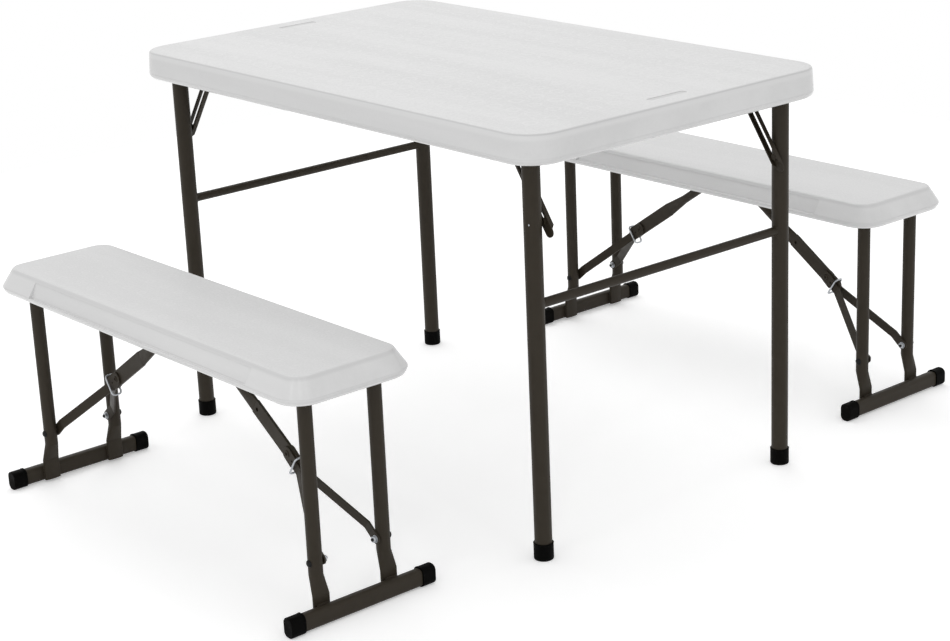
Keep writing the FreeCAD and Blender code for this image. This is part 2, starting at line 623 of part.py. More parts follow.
def bench_leg():
    """Rear leg: round tube, flattened and set outward at the foot bar."""
    axis = Vector(BENCH_LEG_X, BENCH_LEG_Y, 0)
    upper = rod(axis + AXIS_Z * ROUND_END_Z, axis + AXIS_Z * BENCH_PIVOT_Z, BENCH_LEG_OD)
    round_end = leg_section(axis + AXIS_Z * ROUND_END_Z, BENCH_LEG_OD / 2, BENCH_LEG_OD / 2)
    flat_axis = Vector(FLAT_X, BENCH_LEG_Y, 0)
    flat_top = leg_section(flat_axis + AXIS_Z * FLAT_TOP_Z, FLAT_THICKNESS / 2, FLAT_WIDTH / 2)
    taper = Part.makeLoft([round_end, flat_top], True, True)
    flat = Part.Face(flat_top).extrude(AXIS_Z * (FLAT_BOTTOM_Z - FLAT_TOP_Z))
    bore_start = axis + AXIS_Z * (ROUND_END_Z + BENCH_LEG_OD)
    bore = rod(bore_start, axis + AXIS_Z * (BENCH_PIVOT_Z + 1), BENCH_LEG_OD - 2 * BENCH_LEG_WALL)
    saddle = Vector(BENCH_LEG_X, BENCH_LEG_Y - BENCH_LEG_OD, BENCH_PIVOT_Z)
    bolt = Vector(BENCH_LEG_X, BENCH_LEG_Y - BENCH_LEG_OD, BRACE_BOLT_Z)
    run = AXIS_Y * 2 * BENCH_LEG_OD
    cutters = [bore, rod(saddle, saddle + run, PIVOT_OD), rod(bolt, bolt + run, SCREW_D)]
    return fused([upper, taper, flat]).cut(cutters)


def bar_section(grow, y):
    """Rounded outline of the foot bar in the plane y, grown on every side."""
    outline = rounded_outline(BAR_WIDTH + 2 * grow, BAR_HEIGHT + 2 * grow, BAR_CORNER_R + grow, 0)
    outline.rotate(ORIGIN, AXIS_X, 90)
    outline.translate(Vector(BAR_X, y, BAR_BOTTOM_Z + BAR_HEIGHT / 2))
    return Part.Face(outline)


def foot_bar():
    """Flat-sided oval tube across the bench that both legs stand on."""
    start = -BAR_LENGTH / 2
    run = AXIS_Y * BAR_LENGTH
    return bar_section(0, start).extrude(run).cut(bar_section(-BAR_WALL, start).extrude(run))


def bar_cap():
    """Moulded cap over the rear end of the foot bar."""
    inner_y = BAR_LENGTH / 2 + BAR_CAP_END - BAR_CAP_LENGTH
    outer = bar_section(BAR_CAP_WALL, inner_y).extrude(AXIS_Y * BAR_CAP_LENGTH)
    end_y = inner_y + BAR_CAP_LENGTH
    end_edges = [edge for edge in outer.Edges if edge.BoundBox.YMin > end_y - 0.01]
    outer = outer.makeFillet(BAR_CAP_EDGE_R, end_edges)
    return outer.cut(bar_section(0, inner_y).extrude(AXIS_Y * (BAR_CAP_LENGTH - BAR_CAP_END)))


def leg_screw():
    """Domed screw through the rear leg at the brace, from its outer side."""
    outer = BENCH_LEG_Y + BENCH_LEG_OD / 2
    inner = BENCH_LEG_Y - BENCH_LEG_OD / 2
    steps = [(inner, outer, SCREW_D),
             (outer, outer + SCREW_HEAD_HEIGHT / 2, SCREW_HEAD_D),
             (outer + SCREW_HEAD_HEIGHT / 2, outer + SCREW_HEAD_HEIGHT, SCREW_HEAD_D / 2)]
    return stepped_pin(steps, Vector(BENCH_LEG_X, 0, BRACE_BOLT_Z))


# Folding brace of the right end, drawn along X from its upper pivot and then turned down

def placed_brace(shape):
    """Turn a shape drawn along the brace into its place under the seat."""
    shape.rotate(ORIGIN, AXIS_Y, BRACE_ANGLE)
    shape.translate(Vector(CENTRE_PIVOT_X, 0, BENCH_PIVOT_Z))
    return shape


def placed_strips(shape):
    """Turn a shape drawn along the lower arms from the knee into its place."""
    shape.rotate(ORIGIN, AXIS_Y, KNEE_BEND)
    shape.translate(AXIS_X * KNEE_REACH)
    return placed_brace(shape)


def arm_section(x, half_y, half_z):
    """Four-arc wire across the upper arm, round or flattened."""
    section = leg_section(ORIGIN, half_y, half_z)
    section.rotate(ORIGIN, AXIS_X, 90)
    section.rotate(ORIGIN, AXIS_Z, 90)
    section.translate(Vector(x, 0, 0))
    return section


def upper_arm():
    """Round tube flattened towards the knee, with a round tail and a blind hole in its front face."""
    flat_start = KNEE_REACH - ARM_FLAT_LENGTH
    taper_start = flat_start - ARM_TAPER
    end_r = ARM_OD / 2
    round_part = rod(ORIGIN, AXIS_X * taper_start, ARM_OD)
    nose = Part.makeSphere(end_r)
    taper = Part.makeLoft([arm_section(taper_start, end_r, end_r),
                           arm_section(flat_start, ARM_FLAT_T / 2, ARM_FLAT_W / 2)], True, True)
    tail_x = KNEE_REACH + ARM_TAIL - ARM_FLAT_W / 2
    blade = capsule(flat_start, tail_x, ARM_FLAT_W, -ARM_FLAT_T / 2, ARM_FLAT_T / 2)
    blade = blade.cut(block(Vector(0, -ARM_FLAT_T, -ARM_FLAT_W), Vector(flat_start, ARM_FLAT_T, ARM_FLAT_W)))
    locator_x = KNEE_REACH - LOCATOR_ABOVE_KNEE
    holes = [rod(Vector(locator_x, -ARM_OD, 0), Vector(locator_x, 0, 0), LOCATOR_HOLE_D)]
    for x, diameter in ((0, BRACKET_PIN_D), (KNEE_REACH, RIVET_D)):
        holes.append(rod(Vector(x, -ARM_OD, 0), Vector(x, ARM_OD, 0), diameter + 2 * RUNNING_FIT))
    return placed_brace(fused([round_part, nose, taper, blade]).cut(holes))


def strip_arm():
    """Rear lower arm: a bent strip from the knee to the rear leg."""
    bend_out = NECK_LENGTH
    bend_in = STRIP_REACH - STRIP_END_FLAT
    end = STRIP_REACH + STRIP_WIDTH
    path = [(-HEAD_R, STRIP_INNER_Y), (bend_out, STRIP_INNER_Y),
            (bend_in, STRIP_END_INNER_Y), (end, STRIP_END_INNER_Y),
            (end, STRIP_END_OUTER_Y), (bend_in, STRIP_END_OUTER_Y),
            (bend_out, STRIP_OUTER_Y), (-HEAD_R, STRIP_OUTER_Y)]
    sheet = prism([Vector(x, y, -HEAD_R) for x, y in path], AXIS_Z * 2 * HEAD_R)
    depth = AXIS_Y * BENCH_LEG_Y
    strip = capsule(0, STRIP_REACH, STRIP_WIDTH, 0, BENCH_LEG_Y)
    notch = HEAD_LENGTH + HEAD_STEP
    head = prism([Vector(0, 0, HEAD_R), Vector(HEAD_LENGTH, 0, HEAD_R), Vector(notch, 0, STRIP_WIDTH / 2),
                  Vector(notch, 0, -STRIP_WIDTH / 2), Vector(HEAD_LENGTH, 0, -HEAD_R),
                  Vector(0, 0, -HEAD_R)], depth)
    outline = fused([strip, rod(ORIGIN, depth, 2 * HEAD_R), head])
    pilot = AXIS_X * PILOT_BELOW_KNEE
    holes = [rod(ORIGIN, depth, RIVET_D), rod(pilot, pilot + depth, PILOT_D)]
    return placed_strips(sheet.common(outline).cut(holes))


def knee_rivet():
    """Headed rivet through the two lower arms and the upper arm."""
    steps = [(-STRIP_OUTER_Y - RIVET_HEAD_HEIGHT, -STRIP_OUTER_Y, RIVET_HEAD_D),
             (-STRIP_OUTER_Y, STRIP_OUTER_Y, RIVET_D),
             (STRIP_OUTER_Y, STRIP_OUTER_Y + RIVET_HEAD_HEIGHT, RIVET_HEAD_D)]
    return placed_brace(stepped_pin(steps, Vector(KNEE_REACH, 0, 0)))


def arm_nut():
    """Nut and thread end on the inner face of the rear lower arm."""
    place = Vector(STRIP_REACH, STRIP_END_INNER_Y, 0)
    nut = hexagon(place, NUT_AF, AXIS_Y * -NUT_HEIGHT)
    thread = rod(place - AXIS_Y * NUT_HEIGHT, place - AXIS_Y * (NUT_HEIGHT + THREAD_END), SCREW_D)
    return placed_strips(fused([nut, thread]))


def lock_ring():
    """Wire ring round the tail and the two necks, hanging on the tail's upper edge."""
    half_y = (RING_INNER_DEPTH + WIRE_D) / 2
    half_z = (RING_INNER_WIDTH + WIRE_D) / 2
    bend = Vector(0, half_y - RING_CORNER_R, half_z - RING_CORNER_R)
    end_wire = rod(Vector(0, -bend.y, half_z), Vector(0, bend.y, half_z), WIRE_D)
    side_wire = rod(Vector(0, half_y, -bend.z), Vector(0, half_y, bend.z), WIRE_D)
    section = Part.Face(Part.Wire(Part.makeCircle(WIRE_D / 2, Vector(0, half_y, bend.z), AXIS_Z)))
    corner = section.revolve(bend, AXIS_X, 90)
    upper = [end_wire] + both_sides(corner)
    lower = [piece.mirror(ORIGIN, AXIS_Z) for piece in upper]
    ring = fused(upper + both_sides(side_wire) + lower)
    rest_z = ARM_FLAT_W / 2 + SIDE_GAP
    ring.translate(Vector(KNEE_REACH + RING_BELOW_KNEE, 0, rest_z - RING_INNER_WIDTH / 2))
    return placed_brace(ring)


# Assembly

def both_ends(frame):
    """Nodes of a right end frame and of its copy at the left end."""
    nodes = {}
    for name, solids in frame.items():
        nodes["right_" + name] = solids
        nodes["left_" + name] = [mirror_x(solid) for solid in solids]
    return nodes


def table_nodes():
    """Nodes of the table, named and in place."""
    rail = side_rail()
    nodes = {"table_top": [table_top()],
             "front_side_rail": [mirror_y(rail)],
             "rear_side_rail": [rail],
             "rail_fasteners": rail_fasteners()}
    frame = {"legs": both_sides(table_leg()),
             "pivot_tube": [table_pivot_tube()],
             "stretcher": [stretcher()],
             "feet": both_sides(table_foot()),
             "links": both_sides(link()),
             "link_pins": both_sides(link_pin())}
    return nodes | both_ends(frame)


def bench_nodes():
    """Nodes of one bench, about its own centre line."""
    straps = both_sides(strap())
    nodes = {"seat": [seat()],
             "straps": straps + [mirror_x(solid) for solid in straps],
             "bracket": [centre_bracket()],
             "seat_fasteners": seat_fasteners()}
    frame = {"legs": both_sides(bench_leg()),
             "pivot_tube": [bench_pivot_tube()],
             "foot_bar": [foot_bar()],
             "foot_caps": both_sides(bar_cap()),
             "leg_screws": both_sides(leg_screw()),
             "upper_arm": [upper_arm()],
             "brace_arms": both_sides(strip_arm()),
             "brace_fasteners": [knee_rivet()] + both_sides(arm_nut()),
             "lock_ring": [lock_ring()]}
    nodes |= both_ends(frame)
    # The two upper arms are one part turned round, so the left one's blind hole faces the rear
    nodes["left_upper_arm"] = [mirror_y(solid) for solid in nodes["left_upper_arm"]]
    return nodes


def export(name, solids, shift):
    """Write one node's solids to its STEP file."""
    shape = Part.makeCompound(solids) if len(solids) > 1 else solids[0].copy()
    shape.translate(shift)
    shape.exportStep("parts/" + name + ".step")


def main():
    """Build every piece and write one file per node."""
    os.makedirs("parts", exist_ok=True)
    for name, solids in table_nodes().items():
        export(name, solids, AXIS_Y * TABLE_OFFSET_Y)
    bench = bench_nodes()
    for place, side, shift in (("front", -1, FRONT_BENCH_SHIFT), ("rear", 1, REAR_BENCH_SHIFT)):
        for name, solids in bench.items():
            export(place + "_bench_" + name, solids, Vector(shift, side * BENCH_SPACING / 2, 0))


main()
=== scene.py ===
"""Looks of a folding camping table with two folding benches.

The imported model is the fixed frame, in metres: X along the table, Y from the front bench to the
rear bench, Z up from the floor. This script gives every surface its finish, adds the welds, rivets,
nuts and mould seams that are too small for the solids, and sets the pieces in a plain pale studio,
seen from the photograph's viewpoint.
"""

import json
import logging
import math
from dataclasses import dataclass, replace
from enum import Enum

import bmesh
import bpy
from mathutils import Matrix, Vector


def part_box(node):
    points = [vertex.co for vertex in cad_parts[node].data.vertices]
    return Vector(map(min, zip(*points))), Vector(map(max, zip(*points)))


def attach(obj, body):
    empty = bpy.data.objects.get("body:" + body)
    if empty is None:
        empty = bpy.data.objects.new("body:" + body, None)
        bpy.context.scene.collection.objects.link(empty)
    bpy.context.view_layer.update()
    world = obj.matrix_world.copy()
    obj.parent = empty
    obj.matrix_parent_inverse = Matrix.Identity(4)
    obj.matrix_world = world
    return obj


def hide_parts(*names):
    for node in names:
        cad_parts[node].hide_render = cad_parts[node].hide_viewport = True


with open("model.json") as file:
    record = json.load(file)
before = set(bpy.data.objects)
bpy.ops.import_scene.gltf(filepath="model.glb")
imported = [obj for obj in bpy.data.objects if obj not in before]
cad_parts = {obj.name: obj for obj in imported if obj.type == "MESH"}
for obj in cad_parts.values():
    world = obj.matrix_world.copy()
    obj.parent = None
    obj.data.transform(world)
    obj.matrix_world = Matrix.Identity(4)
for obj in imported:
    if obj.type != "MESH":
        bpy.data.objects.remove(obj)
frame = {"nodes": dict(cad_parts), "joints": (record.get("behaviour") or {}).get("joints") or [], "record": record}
log = logging.getLogger("camping_set")

BENCHES = ("front_bench", "rear_bench")
AXIS_X = Vector((1.0, 0.0, 0.0))
AXIS_Y = Vector((0.0, 1.0, 0.0))
AXIS_Z = Vector((0.0, 0.0, 1.0))
WHITE = (1.0, 1.0, 1.0, 1.0)
SMOOTH_ANGLE = math.radians(35.0)
MERGE_REACH = 1e-6
CLOUD_RANGE = (0.3, 0.7)      # values of a noise that are spread to 0 and 1
LEVEL = 0.95                  # least upward slope of a level face
ANY_SLOPE = -2.0              # lower than the upward slope of any face


class Slot(Enum):
    """The record's material slots."""

    PLASTIC = "moulded_plastic"
    COAT = "frame_coat"
    BLACK = "black_plastic"
    ZINC = "zinc_steel"
    SCREW = "black_steel"


class Side(Enum):
    """The two ends of the table and of a bench, with the direction along X that each faces."""

    LEFT = ("left", -1)
    RIGHT = ("right", 1)

    @property
    def word(self) -> str:
        """The end's name in node and body names."""
        return self.value[0]

    @property
    def sign(self) -> int:
        """The direction along X that the end faces."""
        return self.value[1]


class Effect(Enum):
    """Shared surface effects, each one shader node group."""

    PEBBLE = "pebble_grain"
    MOTTLE = "soft_mottle"
    SCUFFS = "fine_scuffs"
    EDGES = "edge_wear"
    RINGS = "ring_grid"
    CREASE = "level_crease"
    UPWARD = "upward_faces"
    BANDS = "long_bands"


# Shader nodes

def spaced(name: str) -> str:
    """A keyword as a socket's name, with spaces for underscores."""
    return name.replace("_", " ")


class Nodes:
    """Short calls for adding and joining the nodes of one shader tree."""

    def __init__(self, owner: bpy.types.Material | bpy.types.World | bpy.types.NodeTree) -> None:
        """Keep the tree that nodes are added to.

        Args:
            owner: A node group, or the material or world that the tree belongs to.
        """
        self.owner = owner
        self.tree = owner if isinstance(owner, bpy.types.NodeTree) else owner.node_tree

    def add(self, kind: str, **settings: object) -> bpy.types.Node:
        """Add a node.

        Args:
            kind: The node's type, such as "ShaderNodeMath".
            settings: Properties of the node, and input values or sockets under the input's own name.

        Returns:
            The new node.
        """
        node = self.tree.nodes.new(kind)
        for name, value in settings.items():
            if hasattr(node, name):
                setattr(node, name, value)
            else:
                self.feed(node.inputs[spaced(name)], value)
        return node

    def feed(self, place: bpy.types.NodeSocket, value: object) -> None:
        """Join a socket to an input, or set the input to a constant.

        Args:
            place: The input.
            value: The socket or the constant.
        """
        if isinstance(value, bpy.types.NodeSocket):
            self.tree.links.new(value, place)
        else:
            place.default_value = value

    def number(self, operation: str, *values: object) -> bpy.types.NodeSocket:
        """Add a Math node.

        Args:
            operation: The node's operation.
            values: Sockets or constants, in the order of the node's inputs.

        Returns:
            The result's socket.
        """
        node = self.add("ShaderNodeMath", operation=operation)
        for place, value in zip(node.inputs, values):
            self.feed(place, value)
        return node.outputs[0]

    def ramp(self, value: bpy.types.NodeSocket, low: object, high: object,
             start: object = 0.0, end: object = 1.0) -> bpy.types.NodeSocket:
        """Ease a value from one range to another.

        Args:
            value: The socket that is read.
            low: Where the ramp starts.
            high: Where the ramp ends.
            start: The result at the start and before it.
            end: The result at the end and after it.

        Returns:
            The result's socket.
        """
        node = self.add("ShaderNodeMapRange", interpolation_type="SMOOTHSTEP")
        for place, entry in zip(node.inputs, (value, low, high, start, end)):
            self.feed(place, entry)
        return node.outputs[0]

    def blend(self, share: bpy.types.NodeSocket, first: object, second: object) -> bpy.types.NodeSocket:
        """Mix two colours.

        Args:
            share: How much of the second colour shows.
            first: The colour at 0, a socket or RGBA values.
            second: The colour at 1, a socket or RGBA values.

        Returns:
            The mixed colour's socket.
        """
        node = self.add("ShaderNodeMix", data_type="RGBA")
        factor, colours = node.inputs[0], node.inputs[6:8]
        for place, entry in zip((factor, *colours), (share, first, second)):
            self.feed(place, entry)
        return node.outputs[2]

    def object_place(self) -> bpy.types.NodeSocket:
        """The Object coordinates' socket."""
        return self.add("ShaderNodeTexCoord").outputs["Object"]

    def split(self, vector: bpy.types.NodeSocket) -> bpy.types.NodeOutputs:
        """The X, Y and Z sockets of a vector."""
        return self.add("ShaderNodeSeparateXYZ", Vector=vector).outputs

    def slope(self) -> bpy.types.NodeSocket:
        """How far a face looks up, from -1 to 1."""
        return self.split(self.add("ShaderNodeNewGeometry").outputs["Normal"])["Z"]


class Effects:
    """The shared shader node groups, each built once and placed in many materials."""

    def __init__(self) -> None:
        """Build every group."""
        self.trees: dict[Effect, bpy.types.NodeTree] = {}
        for build in (self.pebble, self.mottle, self.scuffs, self.edges, self.rings, self.crease,
                      self.upward, self.bands):
            build()

    def start(self, effect: Effect, output: str,
              **inputs: float) -> tuple[Nodes, dict[str, bpy.types.NodeSocket], bpy.types.NodeSocket]:
        """Open a new group with number sockets.

        Args:
            effect: Which effect the group is.
            output: The one output's name.
            inputs: Each input's name, with underscores for spaces, and its usual value.

        Returns:
            The group's nodes, its inputs by name, and the socket that takes the result.
        """
        tree = bpy.data.node_groups.new(effect.value, "ShaderNodeTree")
        for name, value in inputs.items():
            made = tree.interface.new_socket(spaced(name), in_out="INPUT", socket_type="NodeSocketFloat")
            made.default_value = value
        tree.interface.new_socket(output, in_out="OUTPUT", socket_type="NodeSocketFloat")
        self.trees[effect] = tree
        nodes = Nodes(tree)
        entry = nodes.add("NodeGroupInput")
        result = nodes.add("NodeGroupOutput")
        return nodes, {name: entry.outputs[spaced(name)] for name in inputs}, result.inputs[0]

    def place(self, nodes: Nodes, effect: Effect, **values: float) -> bpy.types.NodeSocket:
        """Put a group into a material.

        Args:
            nodes: The material's nodes.
            effect: Which group.
            values: The group's inputs, with underscores for spaces.

        Returns:
            The group's output socket.
        """
        node = nodes.add("ShaderNodeGroup", node_tree=self.trees[effect])
        for name, value in values.items():
            nodes.feed(node.inputs[spaced(name)], value)
        return node.outputs[0]

    def pebble(self) -> None:
        """Rounded grains in close contact, as on moulded plastic and sprayed powder."""
        nodes, inputs, result = self.start(Effect.PEBBLE, "Height", Scale=500.0, Finer=1.7, Fine_Share=0.5)
        place = nodes.object_place()
        grains = nodes.add("ShaderNodeTexVoronoi", feature="SMOOTH_F1", Vector=place,
                           Scale=inputs["Scale"], Smoothness=0.7, Randomness=1.0)
        fine = nodes.add("ShaderNodeTexNoise", Vector=place, Detail=2.0,
                         Scale=nodes.number("MULTIPLY", inputs["Scale"], inputs["Finer"]))
        crown = nodes.number("SUBTRACT", 1.0, grains.outputs["Distance"])
        nodes.feed(result, nodes.number("MULTIPLY_ADD", fine.outputs[0], inputs["Fine_Share"], crown))

    def mottle(self) -> None:
        """Soft cloudy variation, from 0 to 1."""
        nodes, inputs, result = self.start(Effect.MOTTLE, "Value", Scale=20.0, Detail=3.0)
        cloud = nodes.add("ShaderNodeTexNoise", Vector=nodes.object_place(), Scale=inputs["Scale"],
                          Detail=inputs["Detail"], Roughness=0.6)
        nodes.feed(result, nodes.ramp(cloud.outputs[0], *CLOUD_RANGE))

    def scuffs(self) -> None:
        """Thin wandering rub marks in patches."""
        nodes, inputs, result = self.start(Effect.SCUFFS, "Mask", Scale=40.0, Width=0.02, Patch=0.55,
                                           Patch_Scale=0.35, Patch_Fade=0.12)
        place = nodes.object_place()
        lines = nodes.add("ShaderNodeTexNoise", Vector=place, Scale=inputs["Scale"], Detail=4.0,
                          Distortion=1.5)
        offset = nodes.number("ABSOLUTE", nodes.number("SUBTRACT", lines.outputs[0], 0.5))
        thin = nodes.ramp(offset, 0.0, inputs["Width"], 1.0, 0.0)
        spread = nodes.add("ShaderNodeTexNoise", Vector=place, Detail=1.0,
                           Scale=nodes.number("MULTIPLY", inputs["Scale"], inputs["Patch_Scale"]))
        full = nodes.number("ADD", inputs["Patch"], inputs["Patch_Fade"])
        patch = nodes.ramp(spread.outputs[0], inputs["Patch"], full)
        nodes.feed(result, nodes.number("MULTIPLY", thin, patch))

    def edges(self) -> None:
        """Outer edges, where a coat wears thin."""
        nodes, inputs, result = self.start(Effect.EDGES, "Mask", Radius=0.0008, Start=0.97, End=0.75)
        soft = nodes.add("ShaderNodeBevel", samples=4, Radius=inputs["Radius"])
        plain = nodes.add("ShaderNodeNewGeometry")
        dot = nodes.add("ShaderNodeVectorMath", operation="DOT_PRODUCT")
        nodes.feed(dot.inputs[0], soft.outputs[0])
        nodes.feed(dot.inputs[1], plain.outputs["Normal"])
        nodes.feed(result, nodes.ramp(dot.outputs["Value"], inputs["Start"], inputs["End"]))

    def rings(self) -> None:
        """Thin rings in rows and columns on level faces that look up."""
        nodes, inputs, result = self.start(Effect.RINGS, "Mask", Centre_X=0.0, Centre_Y=0.0, Pitch_X=0.05,
                                           Pitch_Y=0.05, Columns=20.0, Rows=12.0, Radius=0.011, Width=0.003)
        place = nodes.split(nodes.object_place())
        squares, inside = [], []
        for axis, count in (("X", "Columns"), ("Y", "Rows")):
            away = nodes.number("SUBTRACT", place[axis], inputs["Centre_" + axis])
            steps = nodes.number("DIVIDE", away, inputs["Pitch_" + axis])
            cell = nodes.number("MULTIPLY_ADD", inputs[count], 0.5, steps)
            from_middle = nodes.number("SUBTRACT", nodes.number("FRACT", cell), 0.5)
            length = nodes.number("MULTIPLY", from_middle, inputs["Pitch_" + axis])
            squares.append(nodes.number("MULTIPLY", length, length))
            inside.append(nodes.number("GREATER_THAN", cell, 0.0))
            inside.append(nodes.number("LESS_THAN", cell, inputs[count]))
        distance = nodes.number("SQRT", nodes.number("ADD", *squares))
        off_ring = nodes.number("ABSOLUTE", nodes.number("SUBTRACT", distance, inputs["Radius"]))
        mask = nodes.ramp(off_ring, 0.0, inputs["Width"], 1.0, 0.0)
        inside.append(nodes.number("GREATER_THAN", nodes.slope(), LEVEL))
        for part in inside:
            mask = nodes.number("MULTIPLY", mask, part)
        nodes.feed(result, mask)

    def crease(self) -> None:
        """Mask of a soft line at one height, all round a moulding or on faces that look up: painted shade, painted
        highlight and the darker parting line.
        """
        nodes, inputs, result = self.start(Effect.CREASE, "Mask", Height=0.4, Width=0.003, Facing=ANY_SLOPE)
        height = nodes.split(nodes.object_place())["Z"]
        away = nodes.number("ABSOLUTE", nodes.number("SUBTRACT", height, inputs["Height"]))
        line = nodes.ramp(away, 0.0, inputs["Width"], 1.0, 0.0)
        faces = nodes.number("GREATER_THAN", nodes.slope(), inputs["Facing"])
        nodes.feed(result, nodes.number("MULTIPLY", line, faces))

    def upward(self) -> None:
        """1 on faces that look up, falling to 0 on faces that lean over."""
        nodes, inputs, result = self.start(Effect.UPWARD, "Mask", Start=0.8, End=0.97)
        nodes.feed(result, nodes.ramp(nodes.slope(), inputs["Start"], inputs["End"]))

    def bands(self) -> None:
        """Broad bands and fine lines along X, as left by the moulding's draw, from 0 to 1."""
        nodes, inputs, result = self.start(Effect.BANDS, "Value", Scale=9.0, Stretch=0.12)
        squeeze = nodes.add("ShaderNodeCombineXYZ", X=inputs["Stretch"], Y=1.0, Z=1.0)
        drawn = nodes.add("ShaderNodeVectorMath", operation="MULTIPLY")
        nodes.feed(drawn.inputs[0], nodes.object_place())
        nodes.feed(drawn.inputs[1], squeeze.outputs[0])
        cloud = nodes.add("ShaderNodeTexNoise", Vector=drawn.outputs[0], Scale=inputs["Scale"], Detail=6.0,
                          Roughness=0.62)
        nodes.feed(result, nodes.ramp(cloud.outputs[0], *CLOUD_RANGE))


# Finishes

Colour = tuple[float, float, float]


def grey(tone: float) -> tuple[float, float, float, float]:
    """An opaque grey."""
    return tone, tone, tone, 1.0


@dataclass(frozen=True, kw_only=True)
class Wear:
    """Variation and wear of a finish. A share is how much a mark drifts the colour.

    Args:
        cloud_scale: Scale of the cloudy variation.
        cloud_detail: Detail of the cloudy variation.
        cloud_share: Share of the cloudy variation.
        scuff_scale: Scale of the scuffs.
        scuff_width: Width of a scuff.
        scuff_patch: Level at which patches of scuffs start.
        scuff_share: Share of a scuff.
        scuff_rough: How much a scuff roughens the surface, below 0 where it polishes.
        grain_depth: Depth of the grain in metres.
        grain_scale: Scale of the pebble grain, or 0 where the cloud is the grain.
        edge_radius: Reach of the worn edges.
        edge_share: Share of a worn edge, or 0 for none.
        dust_height: Reach of the dust above the floor.
        dust_share: Share of the dust, or 0 for none.
    """

    cloud_scale: float
    cloud_detail: float
    cloud_share: float
    scuff_scale: float
    scuff_width: float
    scuff_patch: float
    scuff_share: float
    scuff_rough: float
    grain_depth: float
    grain_scale: float = 0.0
    edge_radius: float = 0.0
    edge_share: float = 0.0
    dust_height: float = 0.0
    dust_share: float = 0.0


@dataclass(frozen=True, kw_only=True)
class Finish:
    """What every finish has: its slot, its colours, its plain shader values and its wear.

    Args:
        slot: The record's slot that the finish belongs to.
        name: The material's name, or its ending where each moulding has its own.
        colour: Base colour, linear.
        second: The colour that the base drifts towards.
        roughness: Roughness of the smoothest patches.
        rough_spread: How much rougher the roughest patches are.
        wear: Its variation and wear.
        specular: Specular level.
        metallic: Metallic share.
    """

    slot: Slot
    name: str
    colour: Colour
    second: Colour
    roughness: float
    rough_spread: float
    wear: Wear
    specular: float = 0.5
    metallic: float = 0.0

    def start(self, name: str) -> tuple[Nodes, bpy.types.Node]:
        """Open a new material.

        Args:
            name: The material's name.

        Returns:
            The material's nodes and its shader.
        """
        made = bpy.data.materials.new(name)
        made.use_nodes = True
        nodes = Nodes(made)
        shader = made.node_tree.nodes["Principled BSDF"]
        shader.inputs["Specular IOR Level"].default_value = self.specular
        shader.inputs["Metallic"].default_value = self.metallic
        return nodes, shader

    def cloud_and_scuffs(self, nodes: Nodes,
                         effects: Effects) -> tuple[bpy.types.NodeSocket, bpy.types.NodeSocket]:
        """Place the cloudy variation and the scuffs.

        Args:
            nodes: The material's nodes.
            effects: The shared groups.

        Returns:
            The two masks.
        """
        wear = self.wear
        cloud = effects.place(nodes, Effect.MOTTLE, Scale=wear.cloud_scale, Detail=wear.cloud_detail)
        scuffs = effects.place(nodes, Effect.SCUFFS, Scale=wear.scuff_scale, Width=wear.scuff_width,
                               Patch=wear.scuff_patch)
        return cloud, scuffs

    def drift(self, nodes: Nodes, mask: bpy.types.NodeSocket) -> bpy.types.NodeSocket:
        """The base colour, drifting to the second colour with a mask."""
        return nodes.blend(mask, (*self.colour, 1.0), (*self.second, 1.0))

    @staticmethod
    def relief(nodes: Nodes, shader: bpy.types.Node, height: bpy.types.NodeSocket, depth: float) -> None:
        """Feed the normal from a height.

        Args:
            nodes: The material's nodes.
            shader: The material's shader.
            height: Height of the surface, about 0 to 1.
            depth: What a height of 1 stands for, in metres.
        """
        bump = nodes.add("ShaderNodeBump", Height=height, Distance=depth)
        nodes.feed(shader.inputs["Normal"], bump.outputs[0])


@dataclass(frozen=True)
class ShadeHighlightSeamLine:
    """A soft line of one grey at one height: painted shade under the top edges and on the recess floors, painted
    highlight on the top's shoulder and on the lips, and the darker parting line.

    Args:
        height: Where its middle is, above the floor or above an edge of the moulding.
        width: How far it fades out to each side.
        tone: Its grey.
        facing: Least upward slope of the faces that show it.
    """

    height: float
    width: float
    tone: float
    facing: float = ANY_SLOPE

    def above(self, edge: float) -> "ShadeHighlightSeamLine":
        """The same line, measured from the floor instead of an edge at a given height."""
        return replace(self, height=edge + self.height)


@dataclass(frozen=True)
class MouldMarksAndPaintedLight:
    """Where a moulding shows its tack-offs, as faint rings painted paler as a painted highlight, and its painted
    shade and highlight lines.

    Args:
        centre: Middle of the rings' grid, in X and Y.
        pitch: Spacing of the rings.
        columns: Number of rings along X.
        rows: Number of rings along Y.
        radius: Radius of one ring.
        lines: Lines at one height, such as the painted shade under the top edge.
        fade: How far a ring fades out to each side, as a share of its radius.
    """

    centre: tuple[float, float]
    pitch: float
    columns: int
    rows: int
    radius: float
    lines: tuple[ShadeHighlightSeamLine, ...]
    fade: float = 0.3

    def rings(self, nodes: Nodes, effects: Effects) -> bpy.types.NodeSocket:
        """Draw the rings.

        Args:
            nodes: The material's nodes.
            effects: The shared groups.

        Returns:
            The rings' mask.
        """
        return effects.place(nodes, Effect.RINGS, Centre_X=self.centre[0], Centre_Y=self.centre[1],
                             Pitch_X=self.pitch, Pitch_Y=self.pitch, Columns=self.columns,
                             Rows=self.rows, Radius=self.radius, Width=self.fade * self.radius)


